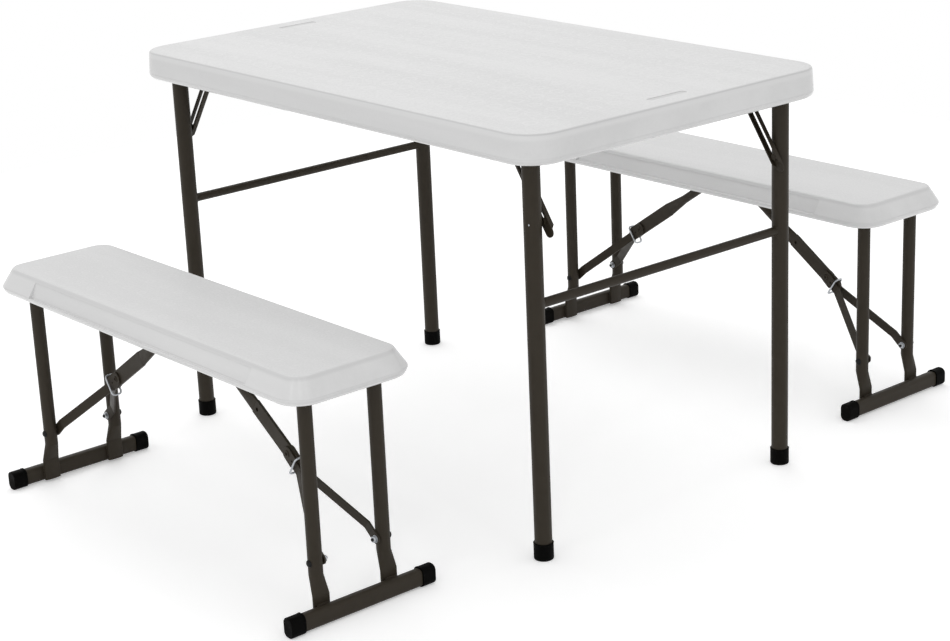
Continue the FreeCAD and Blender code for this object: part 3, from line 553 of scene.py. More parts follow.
@dataclass(frozen=True, kw_only=True)
class MouldedPlastic(Finish):
    """Pale blow-moulded plastic with a pebble texture, the marks of its mould, and painted shade and highlight
    lines along its edges.

    Args:
        side_roughness: Roughness of the plain sides.
        side_pebble: Share of the pebbles and specks that the sides keep.
        band_base: The tone without bands.
        band_share: How much the bands change the tone.
        ring_highlight: How much paler a ring is, a painted highlight where its slopes catch light.
        ring_height: Height of a ring beside that of the pebbles.
    """

    side_roughness: float = 0.23
    side_pebble: float = 0.2
    band_base: float = 0.05
    band_share: float = 0.8
    ring_highlight: float = 0.6
    ring_height: float = 0.9

    def material(self, effects: Effects, node: str, marks: MouldMarksAndPaintedLight) -> bpy.types.Material:
        """Make the finish for one moulding.

        Args:
            effects: The shared groups.
            node: The moulding.
            marks: Where its rings and its lines are.

        Returns:
            The new material.
        """
        wear = self.wear
        nodes, shader = self.start(node + "_" + self.name)
        speck, scuffs = self.cloud_and_scuffs(nodes, effects)
        bands = effects.place(nodes, Effect.BANDS)
        rings = marks.rings(nodes, effects)
        upward = effects.place(nodes, Effect.UPWARD)
        pebbled = nodes.number("MULTIPLY_ADD", upward, 1.0 - self.side_pebble, self.side_pebble)
        tone = nodes.number("MULTIPLY_ADD", bands, self.band_share, self.band_base)
        tone = nodes.number("MULTIPLY_ADD", nodes.number("SUBTRACT", speck, 0.5),
                            nodes.number("MULTIPLY", pebbled, wear.cloud_share), tone)
        tone = nodes.number("MULTIPLY_ADD", scuffs, wear.scuff_share, tone)
        # Rings are painted paler than the surface round them: a painted highlight where their slopes catch light.
        tone = nodes.number("MULTIPLY_ADD", rings, -self.ring_highlight, tone)
        colour = self.drift(nodes, tone)
        # Lines of one grey: painted shade under the top edge and on recess floors, painted highlight on the
        # shoulder and the lower lip, and the darker parting line.
        for line in marks.lines:
            mask = effects.place(nodes, Effect.CREASE, Height=line.height, Width=line.width,
                                 Facing=line.facing)
            colour = nodes.blend(mask, colour, grey(line.tone))
        nodes.feed(shader.inputs["Base Color"], colour)
        rubbed = nodes.number("MULTIPLY_ADD", scuffs, wear.scuff_rough, speck)
        rise = nodes.number("MULTIPLY_ADD", rubbed, self.rough_spread, self.roughness - self.side_roughness)
        rough = nodes.number("MULTIPLY_ADD", rise, upward, self.side_roughness)
        nodes.feed(shader.inputs["Roughness"], rough)
        pebbles = effects.place(nodes, Effect.PEBBLE, Scale=wear.grain_scale)
        grain = nodes.number("MULTIPLY", pebbles, pebbled)
        height = nodes.number("MULTIPLY_ADD", rings, self.ring_height, grain)
        self.relief(nodes, shader, height, wear.grain_depth)
        return nodes.owner


@dataclass(frozen=True, kw_only=True)
class HardFinish(Finish):
    """A coat, a cap's plastic or bare steel, worn along its edges or dusty at the floor."""

    def material(self, effects: Effects) -> bpy.types.Material:
        """Make the finish.

        Args:
            effects: The shared groups.

        Returns:
            The new material.
        """
        wear = self.wear
        nodes, shader = self.start(self.name)
        cloud, scuffs = self.cloud_and_scuffs(nodes, effects)
        tone = nodes.number("MULTIPLY", cloud, wear.cloud_share)
        if wear.edge_share:
            worn = effects.place(nodes, Effect.EDGES, Radius=wear.edge_radius)
            tone = nodes.number("MULTIPLY_ADD", worn, wear.edge_share, tone)
        if wear.dust_share:
            ground = nodes.ramp(nodes.split(nodes.object_place())["Z"], wear.dust_height, 0.0)
            tone = nodes.number("MULTIPLY_ADD", ground, wear.dust_share, tone)
        tone = nodes.number("MULTIPLY_ADD", scuffs, wear.scuff_share, tone)
        nodes.feed(shader.inputs["Base Color"], self.drift(nodes, tone))
        rubbed = nodes.number("MULTIPLY_ADD", scuffs, wear.scuff_rough, cloud)
        rough = nodes.number("MULTIPLY_ADD", rubbed, self.rough_spread, self.roughness)
        nodes.feed(shader.inputs["Roughness"], rough)
        grain = effects.place(nodes, Effect.PEBBLE, Scale=wear.grain_scale) if wear.grain_scale else cloud
        self.relief(nodes, shader, grain, wear.grain_depth)
        return nodes.owner


PLASTIC_WEAR = Wear(cloud_scale=260.0, cloud_detail=2.0, cloud_share=0.55, scuff_scale=22.0,
                    scuff_width=0.012, scuff_patch=0.58, scuff_share=0.3, scuff_rough=-0.6,
                    grain_depth=0.00012, grain_scale=420.0)
COAT_WEAR = Wear(cloud_scale=35.0, cloud_detail=4.0, cloud_share=0.4, scuff_scale=60.0, scuff_width=0.015,
                 scuff_patch=0.6, scuff_share=0.4, scuff_rough=0.5, grain_depth=0.00005,
                 grain_scale=1100.0, edge_radius=0.0007, edge_share=0.5)
CAP_WEAR = Wear(cloud_scale=60.0, cloud_detail=3.0, cloud_share=0.25, scuff_scale=90.0, scuff_width=0.03,
                scuff_patch=0.5, scuff_share=0.25, scuff_rough=0.0, grain_depth=0.00006,
                grain_scale=1500.0, dust_height=0.006, dust_share=0.5)
STEEL_WEAR = Wear(cloud_scale=180.0, cloud_detail=4.0, cloud_share=0.5, scuff_scale=240.0, scuff_width=0.03,
                  scuff_patch=0.45, scuff_share=0.3, scuff_rough=0.4, grain_depth=0.00003,
                  edge_radius=0.0004, edge_share=0.3)
PLASTIC = MouldedPlastic(slot=Slot.PLASTIC, name="plastic", colour=(0.73, 0.73, 0.73),
                         second=(0.66, 0.66, 0.66), roughness=0.4, rough_spread=0.12, specular=0.3,
                         wear=PLASTIC_WEAR)
HARD_FINISHES = (
    HardFinish(slot=Slot.COAT, name="bronze_powder_coat", colour=(0.0275, 0.0214, 0.0138),
               second=(0.039, 0.032, 0.0235), roughness=0.42, rough_spread=0.14, specular=0.18,
               wear=COAT_WEAR),
    HardFinish(slot=Slot.BLACK, name="black_cap_plastic", colour=(0.0012, 0.0011, 0.0009),
               second=(0.004, 0.004, 0.0037), roughness=0.5, rough_spread=0.2, specular=0.04,
               wear=CAP_WEAR),
    HardFinish(slot=Slot.ZINC, name="zinc_plated_steel", colour=(0.42, 0.44, 0.47),
               second=(0.62, 0.63, 0.64), roughness=0.25, rough_spread=0.2, metallic=1.0,
               wear=STEEL_WEAR),
    HardFinish(slot=Slot.SCREW, name="blackened_steel", colour=(0.006, 0.006, 0.0065),
               second=(0.025, 0.025, 0.025), roughness=0.35, rough_spread=0.2, specular=0.15,
               wear=STEEL_WEAR),
)


# Mesh work

LEVEL_SEAT = 1.0              # radius of a post so wide that a bead on it lies level


def placement(centre: Vector, axis: Vector, lead: Vector) -> Matrix:
    """Matrix that takes a shape drawn about Z at the origin to its place.

    Args:
        centre: Where the origin goes.
        axis: Where Z points.
        lead: Where X points, square to the axis.

    Returns:
        The placement.
    """
    turn = Matrix((lead, axis.cross(lead), axis)).transposed()
    return Matrix.Translation(centre) @ turn.to_4x4()


def square_to(axis: Vector) -> Vector:
    """A unit direction square to an axis."""
    return axis.orthogonal().normalized()


class Workpiece:
    """One new piece, shaped by mesh operators in its final place."""

    BEAD_FACETS = 8           # facets round a weld bead's section
    RIPPLE_FACETS = 4         # facets along one ripple
    TROUGH = 0.9              # a bead's thickness between ripples, as a share
    BEAD_RIPPLE = 0.16        # what a ripple adds to a round bead
    STITCH_RIPPLE = 0.14      # what a ripple adds to a straight bead
    STITCH_STEPS = 2.5        # steps of a straight bead along a length of its radius
    STITCH_LEAST = 6          # fewest steps of a straight bead
    STITCH_FACETS = 10        # facets round a straight bead
    END_POWER = 6             # how blunt the ends of a straight bead are
    CHAMFER = 0.06            # a nut's chamfer, as a share of its width across flats
    CORNER_FACETS = 12        # facets round a hoop's corner

    def __init__(self, name: str) -> None:
        """Open an empty mesh."""
        self.name = name
        self.mesh = bmesh.new()

    def since(self, before: set) -> list[bmesh.types.BMVert]:
        """The points that are new since a set of points was taken."""
        return [vert for vert in self.mesh.verts if vert not in before]

    @staticmethod
    def edges_at(verts: list[bmesh.types.BMVert]) -> list[bmesh.types.BMEdge]:
        """The edges that end at some points."""
        return list({edge for vert in verts for edge in vert.link_edges})

    def settle(self, before: set, place: Matrix) -> None:
        """Merge the meeting points of a new shape, and move it to its place.

        Args:
            before: The points that were there before it.
            place: Its placement.
        """
        bmesh.ops.remove_doubles(self.mesh, verts=self.since(before), dist=MERGE_REACH)
        bmesh.ops.transform(self.mesh, matrix=place, verts=self.since(before))

    def turned(self, profile: list[tuple[float, float]], centre: Vector, axis: Vector,
               steps: int = 24) -> None:
        """Spin an outline about an axis.

        Args:
            profile: Points of radius and height, from pole to pole.
            centre: Where height 0 of the axis is.
            axis: Direction of the axis.
            steps: Number of facets round.
        """
        before = set(self.mesh.verts)
        corners = [self.mesh.verts.new((radius, 0.0, height)) for radius, height in profile]
        edges = [self.mesh.edges.new(pair) for pair in zip(corners, corners[1:])]
        bmesh.ops.spin(self.mesh, geom=corners + edges, cent=(0, 0, 0), axis=AXIS_Z, angle=math.tau,
                       steps=steps, use_merge=True)
        self.settle(before, placement(centre, axis, square_to(axis)))

    def bead(self, centre: Vector, axis: Vector, lead: Vector, radius: float, seat_radius: float,
             share: float = 1.0, thickness: float = 0.0016, ripples: int = 22) -> None:
        """Lay a rippled weld bead round a tube where it meets a round post.

        Args:
            centre: Where the tube's axis meets the post's surface.
            axis: The tube's direction, away from the post.
            lead: Where the bead starts, square to the axis and to the post.
            radius: Radius of the tube.
            seat_radius: Radius of the post.
            share: Share of a full turn that is welded.
            thickness: Radius of the bead's own section.
            ripples: Number of ripples in a full turn.
        """
        before = set(self.mesh.verts)
        upright = Matrix.Translation((radius, 0, 0)) @ Matrix.Rotation(math.pi / 2, 4, "X")
        corners = bmesh.ops.create_circle(self.mesh, segments=self.BEAD_FACETS, radius=thickness,
                                          matrix=upright)["verts"]
        bmesh.ops.spin(self.mesh, geom=corners + self.edges_at(corners), cent=(0, 0, 0), axis=AXIS_Z,
                       angle=math.tau * share, steps=int(self.RIPPLE_FACETS * ripples * share),
                       use_merge=share == 1.0)
        for vert in self.since(before):
            self.shape_bead(vert, radius, seat_radius, share, ripples)
        self.settle(before, placement(centre, axis, lead))

    def shape_bead(self, vert: bmesh.types.BMVert, radius: float, seat_radius: float, share: float,
                   ripples: int) -> None:
        """Ripple one point of a bead, thin it towards an open end, and drop it onto the post.

        Args:
            vert: The point.
            radius: Radius of the tube.
            seat_radius: Radius of the post.
            share: Share of a full turn that is welded.
            ripples: Number of ripples in a full turn.
        """
        turn = math.atan2(vert.co.y, vert.co.x) % math.tau
        if share < 1.0 and turn > math.tau * (1 + share) / 2:
            turn = 0.0
        middle = Vector((math.cos(turn), math.sin(turn), 0.0)) * radius
        swell = self.TROUGH + self.BEAD_RIPPLE * abs(math.sin(turn * ripples / 2))
        if share < 1.0:
            swell *= math.sqrt(max(math.sin(turn / (2 * share)), 0.0))
        vert.co = middle + (vert.co - middle) * swell
        lateral = min(abs(vert.co.x), seat_radius)
        vert.co.z += math.sqrt(seat_radius ** 2 - lateral ** 2) - seat_radius

    def stitch(self, start: Vector, end: Vector, radius: float) -> None:
        """Lay a straight weld bead with ripples.

        Args:
            start: One end.
            end: The other end.
            radius: Radius of the bead.
        """
        run = end - start
        count = max(self.STITCH_LEAST, int(run.length / radius * self.STITCH_STEPS))
        profile = []
        for step in range(count + 1):
            along = step / count
            round_end = math.sqrt(max(0.0, 1 - (2 * along - 1) ** self.END_POWER))
            ripple = self.TROUGH + self.STITCH_RIPPLE * (step % 2)
            profile.append((radius * round_end * ripple, run.length * along))
        self.turned(profile, start, run.normalized(), steps=self.STITCH_FACETS)

    def nut(self, centre: Vector, axis: Vector, flats: float, height: float) -> None:
        """Make a chamfered hexagon.

        Args:
            centre: Middle of the face that it sits on.
            axis: Direction away from its seat.
            flats: Width across flats.
            height: Height.
        """
        before = set(self.mesh.verts)
        corner = flats / math.sqrt(3)
        bmesh.ops.create_cone(self.mesh, cap_ends=True, segments=6, radius1=corner, radius2=corner,
                              depth=height, matrix=Matrix.Translation((0, 0, height / 2)))
        bmesh.ops.bevel(self.mesh, geom=self.edges_at(self.since(before)), offset=self.CHAMFER * flats,
                        affect="EDGES", segments=2, profile=0.5, material=-1)
        self.settle(before, placement(centre, axis, square_to(axis)))

    def hoop(self, length: float, width: float, radius: float, inset: float, height: float,
             place: Matrix) -> None:
        """Make a flat hoop along a rounded rectangle.

        Args:
            length: Outer size along X.
            width: Outer size along Y.
            radius: Outer corner radius.
            inset: Width of the hoop's band.
            height: Height of the hoop.
            place: Where the middle of its lower face goes.
        """
        before = set(self.mesh.verts)
        sheet = bmesh.ops.create_grid(self.mesh, x_segments=1, y_segments=1, size=0.5)["verts"]
        bmesh.ops.scale(self.mesh, vec=(length, width, 1.0), verts=sheet)
        bmesh.ops.bevel(self.mesh, geom=sheet, offset=radius, affect="VERTICES",
                        segments=self.CORNER_FACETS, profile=0.5, material=-1)
        face = self.since(before)[0].link_faces[0]
        band = bmesh.ops.inset_region(self.mesh, faces=[face], thickness=inset, use_boundary=True,
                                      use_even_offset=True)["faces"]
        bmesh.ops.delete(self.mesh, geom=[face], context="FACES")
        raised = bmesh.ops.extrude_face_region(self.mesh, geom=band, use_keep_orig=True)["geom"]
        lifted = [part for part in raised if isinstance(part, bmesh.types.BMVert)]
        bmesh.ops.translate(self.mesh, vec=AXIS_Z * height, verts=lifted)
        self.settle(before, place)

    def finish(self, body: str, slot: Slot, material: bpy.types.Material, *replaced: str) -> None:
        """Turn the faces outward, make the piece's object, and set it on its body.

        Args:
            body: The body that it moves with.
            slot: Not used; the record's slot that its finish belongs to.
            material: The finish.
            replaced: CAD nodes that it stands for.
        """
        bmesh.ops.recalc_face_normals(self.mesh, faces=self.mesh.faces)
        data = bpy.data.meshes.new(self.name)
        self.mesh.to_mesh(data)
        self.mesh.free()
        data.shade_smooth()
        data.set_sharp_from_angle(angle=SMOOTH_ANGLE)
        data.materials.append(material)
        piece = bpy.data.objects.new(self.name, data)
        bpy.context.scene.collection.objects.link(piece)
        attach(piece, body)
        if replaced:
            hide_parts(*replaced)
        log.info("%s: %d faces, rides %s", self.name, len(data.polygons), body)


def dome(radius: float, height: float, base: float = 0.0, steps: int = 6) -> list[tuple[float, float]]:
    """Outline of a flat-based round head.

    Args:
        radius: Radius of the head.
        height: Height of the head.
        base: Height of its underside.
        steps: Number of facets up the curve.

    Returns:
        Points of radius and height, from the underside's pole to the top's.
    """
    curve = [(radius * math.cos(turn), base + height * math.sin(turn))
             for turn in (math.pi / 2 * step / steps for step in range(steps))]
    return [(0.0, base)] + curve + [(0.0, base + height)]


@dataclass(frozen=True)
class Washer:
    """A washer with an eased upper edge.

    Args:
        radius: Outer radius.
        face_radius: Radius of its flat upper face.
        rim: Height at which the eased edge starts.
        height: Height of its upper face.
    """

    radius: float
    face_radius: float
    rim: float
    height: float

    def outline(self, under: float) -> list[tuple[float, float]]:
        """Its outline, from the outer edge of the underside to the upper face's pole.

        Args:
            under: Height of its underside.

        Returns:
            Points of radius and height.
        """
        return [(self.radius, under), (self.radius, self.rim), (self.face_radius, self.height),
                (0.0, self.height)]


def joint_place(name: str) -> Vector:
    """Where a joint's axis is, at rest."""
    return Vector(next(joint["pos_m"] for joint in frame["joints"] if joint["name"] == name))


# Sub-assemblies

SCREW_HEIGHT = 0.098          # height of the screws that join a bench's braces to its legs


@dataclass(frozen=True)
class Tray:
    """Corners, marks and painted shade and highlight lines of one kind of moulding. Its lines are measured from
    its own edges.

    Args:
        corner: Corner radius of its widest line.
        rings: Number of tack-off rings along X and Y.
        ring_radius: Radius of a ring.
        upper_lines: Painted shade and highlight lines along the upper edge.
        lower_lines: The darker parting line and the painted highlight on the lip, along the lower edge.
        ring_pitch: Spacing of the rings.
    """

    corner: float
    rings: tuple[int, int]
    ring_radius: float
    upper_lines: tuple[ShadeHighlightSeamLine, ...]
    lower_lines: tuple[ShadeHighlightSeamLine, ...]
    ring_pitch: float = 0.046

    def marks(self, node: str) -> MouldMarksAndPaintedLight:
        """Work out where a moulding's marks are.

        Args:
            node: The moulding.

        Returns:
            Its marks.
        """
        low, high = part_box(node)
        middle = (low + high) / 2
        lines = [line.above(low.z) for line in self.lower_lines]
        lines += [line.above(high.z) for line in self.upper_lines]
        return MouldMarksAndPaintedLight((middle.x, middle.y), self.ring_pitch, *self.rings, self.ring_radius, tuple(lines))


# Lines of one grey: PARTING is a darker line at the parting seam; the others are painted shade under the top edges
# and on the recess floors, and painted highlight on the top's shoulder and on the lower lips.
PARTING = ShadeHighlightSeamLine(0.0115, 0.0012, 0.66)
LIP_HIGHLIGHT = ShadeHighlightSeamLine(0.0025, 0.0035, 0.80)
TOP_SHOULDER_HIGHLIGHT = ShadeHighlightSeamLine(-0.0075, 0.0065, 0.735)
TOP_EDGE_SHADE = ShadeHighlightSeamLine(-0.0018, 0.0022, 0.58)
RECESS_SHADE = ShadeHighlightSeamLine(-0.0008, 0.0005, 0.60, facing=LEVEL)
SEAT_EDGE_SHADE = ShadeHighlightSeamLine(-0.0035, 0.0055, 0.63)
TOP_TRAY = Tray(0.062, (22, 13), 0.0115, (TOP_SHOULDER_HIGHLIGHT, TOP_EDGE_SHADE, RECESS_SHADE), (PARTING, LIP_HIGHLIGHT))
SEAT_TRAY = Tray(0.050, (18, 4), 0.007, (SEAT_EDGE_SHADE,), (PARTING, LIP_HIGHLIGHT))


@dataclass
class Mouldings:
    """The moulded table top and seats: their finish and their mould seams.

    Args:
        finish: The plastic.
        seam_rise: Seam above a moulding's lower edge.
        seam_proud: How far a seam stands out.
        seam_band: Width of a seam's band.
        seam_height: Height of a seam.
    """

    finish: MouldedPlastic
    seam_rise: float = 0.0098
    seam_proud: float = 0.0002
    seam_band: float = 0.0008
    seam_height: float = 0.0006

    def dress(self, effects: Effects) -> None:
        """Give each moulding its finish and its seam.

        Args:
            effects: The shared groups.
        """
        self.moulding("table_top", "table", TOP_TRAY, effects)
        for bench in BENCHES:
            self.moulding(bench + "_seat", bench, SEAT_TRAY, effects)

    def moulding(self, node: str, body: str, tray: Tray, effects: Effects) -> None:
        """Dress one moulding and lay the seam round its widest line.

        Args:
            node: The moulding.
            body: The body that it belongs to.
            tray: Its kind.
            effects: The shared groups.
        """
        material = self.finish.material(effects, node, tray.marks(node))
        frame["nodes"][node].material_slots[0].material = material
        low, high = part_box(node)
        size = high - low
        place = Matrix.Translation(((low.x + high.x) / 2, (low.y + high.y) / 2, low.z + self.seam_rise))
        seam = Workpiece(node + "_seam")
        seam.hoop(size.x + 2 * self.seam_proud, size.y + 2 * self.seam_proud, tray.corner + self.seam_proud,
                  self.seam_band, self.seam_height, place)
        seam.finish(body, self.finish.slot, material)


@dataclass
class LegEnd:
    """What the groups of small pieces at one end of the table or of a bench share.

    Args:
        side: Which end.
        materials: The finishes by slot.
        bench: The bench's body, or empty for the table.
    """

    side: Side
    materials: dict[Slot, bpy.types.Material]
    bench: str = ""

    @property
    def name(self) -> str:
        """The start of the names of nodes, joints, bodies and pieces at this end."""
        return self.bench + "_" + self.side.word if self.bench else self.side.word

    @property
    def body(self) -> str:
        """The body that the pieces move with."""
        return self.name + "_frame"

    @property
    def pivot(self) -> Vector:
        """A point on the leg pivot's axis, midway between the legs."""
        return joint_place(self.name + "_leg_fold")

    def close(self, piece: Workpiece, slot: Slot, *replaced: str) -> None:
        """Finish a piece of this end, with the CAD nodes that it stands for."""
        piece.finish(self.body, slot, self.materials[slot], *replaced)


def pivot_welds(piece: Workpiece, pivot: Vector, pivot_radius: float, leg_y: float,
                leg_radius: float) -> None:
    """Weld a leg to the lower half of its pivot tube, on both sides of the leg.

    Args:
        piece: The piece that takes the beads.
        pivot: A point on the pivot tube's axis, at the leg's X.
        pivot_radius: Radius of the pivot tube.
        leg_y: The leg's place along Y.
        leg_radius: Radius of the leg.
    """
    for way in (1, -1):
        face = Vector((pivot.x, leg_y + way * leg_radius, pivot.z))
        piece.bead(face, AXIS_Y * way, AXIS_X * way, pivot_radius, leg_radius, share=0.5)


@dataclass
class TableFrame(LegEnd):
    """One pair of table legs: weld beads, riveted pin ends and the lips of the foot caps.

    Args:
        leg_radius: Radius of a leg.
        stretcher_radius: Radius of the cross bar.
        pivot_radius: Radius of the pivot tube.
        pin_outset: Link pin outboard of the leg's axis.
        pin_drop: Link pin below the leg pivot.
        pin_sunk: How far a pin's riveted end starts inside the leg.
        rivet_radius: Radius of the pin's riveted end.
        rivet_height: Height of the pin's riveted end.
        lip_radius: Radius of the section of a foot cap's lip.
        lip_ripples: Number of ripples round a foot cap's lip.
    """

    leg_radius: float = 0.015
    stretcher_radius: float = 0.008
    pivot_radius: float = 0.0095
    pin_outset: float = 0.006
    pin_drop: float = 0.1165
    pin_sunk: float = 0.0008
    rivet_radius: float = 0.0018
    rivet_height: float = 0.001
    lip_radius: float = 0.0009
    lip_ripples: int = 16

    @property
    def legs(self) -> tuple[tuple[float, int], ...]:
        """Each leg's place along Y, and the direction along Y to the other leg."""
        word = self.side.word
        low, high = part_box(word + "_legs")
        return (low.y + self.leg_radius, 1), (high.y - self.leg_radius, -1)

    def build(self) -> None:
        """Add the frame's small pieces."""
        self.welds()
        self.pin_ends()
        self.foot_lips()

    def welds(self) -> None:
        """Weld the cross bar to the legs and the legs to the pivot tube."""
        piece = Workpiece(self.name + "_frame_welds")
        low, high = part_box(self.side.word + "_stretcher")
        for leg_y, inward in self.legs:
            bar = Vector((self.pivot.x, leg_y + inward * self.leg_radius, (low.z + high.z) / 2))
            piece.bead(bar, AXIS_Y * inward, AXIS_X * inward, self.stretcher_radius, self.leg_radius)
            pivot_welds(piece, self.pivot, self.pivot_radius, leg_y, self.leg_radius)
        self.close(piece, Slot.COAT)

    def pin_ends(self) -> None:
        """Rivet the link pins' ends over on the legs' outer faces."""
        piece = Workpiece(self.name + "_pin_ends")
        reach = math.sqrt(self.leg_radius ** 2 - self.pin_outset ** 2) - self.pin_sunk
        head = dome(self.rivet_radius, self.rivet_height, self.pin_sunk / 2)
        for leg_y, inward in self.legs:
            face = Vector((self.pivot.x + self.side.sign * self.pin_outset, leg_y - inward * reach,
                           self.pivot.z - self.pin_drop))
            piece.turned(head, face, AXIS_Y * -inward)
        self.close(piece, Slot.ZINC)

    def foot_lips(self) -> None:
        """Round the mouths of the foot caps with a moulded lip."""
        piece = Workpiece(self.name + "_foot_lips")
        low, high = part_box(self.side.word + "_feet")
        radius = (high.x - low.x) / 2 - self.lip_radius / 2
        for leg_y, _ in self.legs:
            mouth = Vector((self.pivot.x, leg_y, high.z - self.lip_radius))
            piece.bead(mouth, AXIS_Z, AXIS_X, radius, LEVEL_SEAT, thickness=self.lip_radius,
                       ripples=self.lip_ripples)
        self.close(piece, Slot.BLACK)


@dataclass
class BenchFrame(LegEnd):
    """One pair of bench legs with its foot bar: welds, screw heads and cap lips.

    Args:
        leg_radius: Radius of a leg.
        leg_spread: Distance between the two legs' axes.
        pivot_radius: Radius of the pivot tube.
        flat_face: Outer face of a leg's flat end, outboard of the leg's axis.
        flat_half: Half the width of a leg's flat end.
        weld: Radius of the foot bar's weld beads.
        weld_foot: Start of an upright bead, above the foot bar's lower face.
        weld_head: End of an upright bead, below the foot bar's upper face.
        screw_height: Height of the screws that join the brace to the legs.
        shank_radius: Radius of a screw's shank.
        shank_sunk: How far the shank reaches into the leg.
        washer: The washer under a screw's head.
        washer_sunk: How far the washer reaches into the leg's round side.
        head_radius: Radius of a screw's head.
        head_height: Height of a screw's head and its washer.
        head_base: Height of the head's underside, just inside the washer.
        cap_lip: Band of the lip round a cap's mouth.
        cap_corner: Corner radius of a cap.
        cap_length: Length of a cap.
        lip_proud: How far a lip stands out.
        lip_length: Length of a lip along its cap.
    """

    leg_radius: float = 0.012
    leg_spread: float = 0.136
    pivot_radius: float = 0.0095
    flat_face: float = 0.014
    flat_half: float = 0.016
    weld: float = 0.0019
    weld_foot: float = 0.006
    weld_head: float = 0.004
    screw_height: float = SCREW_HEIGHT
    shank_radius: float = 0.003
    shank_sunk: float = 0.004
    washer: Washer = Washer(radius=0.0062, face_radius=0.0058, rim=0.0006, height=0.001)
    washer_sunk: float = 0.0008
    head_radius: float = 0.0055
    head_height: float = 0.0035
    head_base: float = 0.0009
    cap_lip: float = 0.0016
    cap_corner: float = 0.0104
    cap_length: float = 0.027
    lip_proud: float = 0.0005
    lip_length: float = 0.0025

    def build(self) -> None:
        """Add the frame's small pieces."""
        self.welds()
        self.screw_heads()
        self.cap_lips()

    def welds(self) -> None:
        """Weld the legs to the pivot tube and to the foot bar."""
        piece = Workpiece(self.name + "_frame_welds")
        low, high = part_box(self.name + "_foot_bar")
        face_x = self.pivot.x + self.side.sign * self.flat_face
        for end in (-1, 1):
            leg_y = self.pivot.y + end * self.leg_spread / 2
            pivot_welds(piece, self.pivot, self.pivot_radius, leg_y, self.leg_radius)
            for way in (1, -1):
                edge_y = leg_y + way * (self.flat_half - self.weld)
                piece.stitch(Vector((face_x, edge_y, low.z + self.weld_foot)),
                             Vector((face_x, edge_y, high.z - self.weld_head)), self.weld)
            top = Vector((face_x + self.side.sign * self.weld / 2, leg_y, high.z - self.weld))
            reach = AXIS_Y * (self.flat_half - 2 * self.weld)
            piece.stitch(top - reach, top + reach, self.weld)
        self.close(piece, Slot.COAT)

    def screw_heads(self) -> None:
        """Replace the brace's screws by ones with domed heads on washers."""
        piece = Workpiece(self.name + "_domed_screws")
        shank = [(0.0, -self.shank_sunk), (self.shank_radius, -self.shank_sunk),
                 (self.shank_radius, -self.washer_sunk)]
        head = dome(self.head_radius, self.head_height - self.washer.height, self.head_base)
        outward = self.leg_spread / 2 + self.leg_radius
        for end in (-1, 1):
            face = Vector((self.pivot.x, self.pivot.y + end * outward, self.screw_height))
            piece.turned(shank + self.washer.outline(-self.washer_sunk), face, AXIS_Y * end)
            piece.turned(head, face, AXIS_Y * end)
        self.close(piece, Slot.SCREW, self.name + "_leg_screws")

    def cap_lips(self) -> None:
        """Round the mouths of the foot bar's caps with a moulded lip."""
        piece = Workpiece(self.name + "_cap_lips")
        low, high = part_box(self.name + "_foot_caps")
        size = high - low
        for end in (-1, 1):
            mouth = (low.y if end < 0 else high.y) - end * self.cap_length
            centre = Vector(((low.x + high.x) / 2, mouth, (low.z + high.z) / 2 + self.lip_proud))
            piece.hoop(size.x + 2 * self.lip_proud, size.z, self.cap_corner, self.cap_lip, self.lip_length,
                       placement(centre, AXIS_Y * end, AXIS_X))
        self.close(piece, Slot.BLACK)


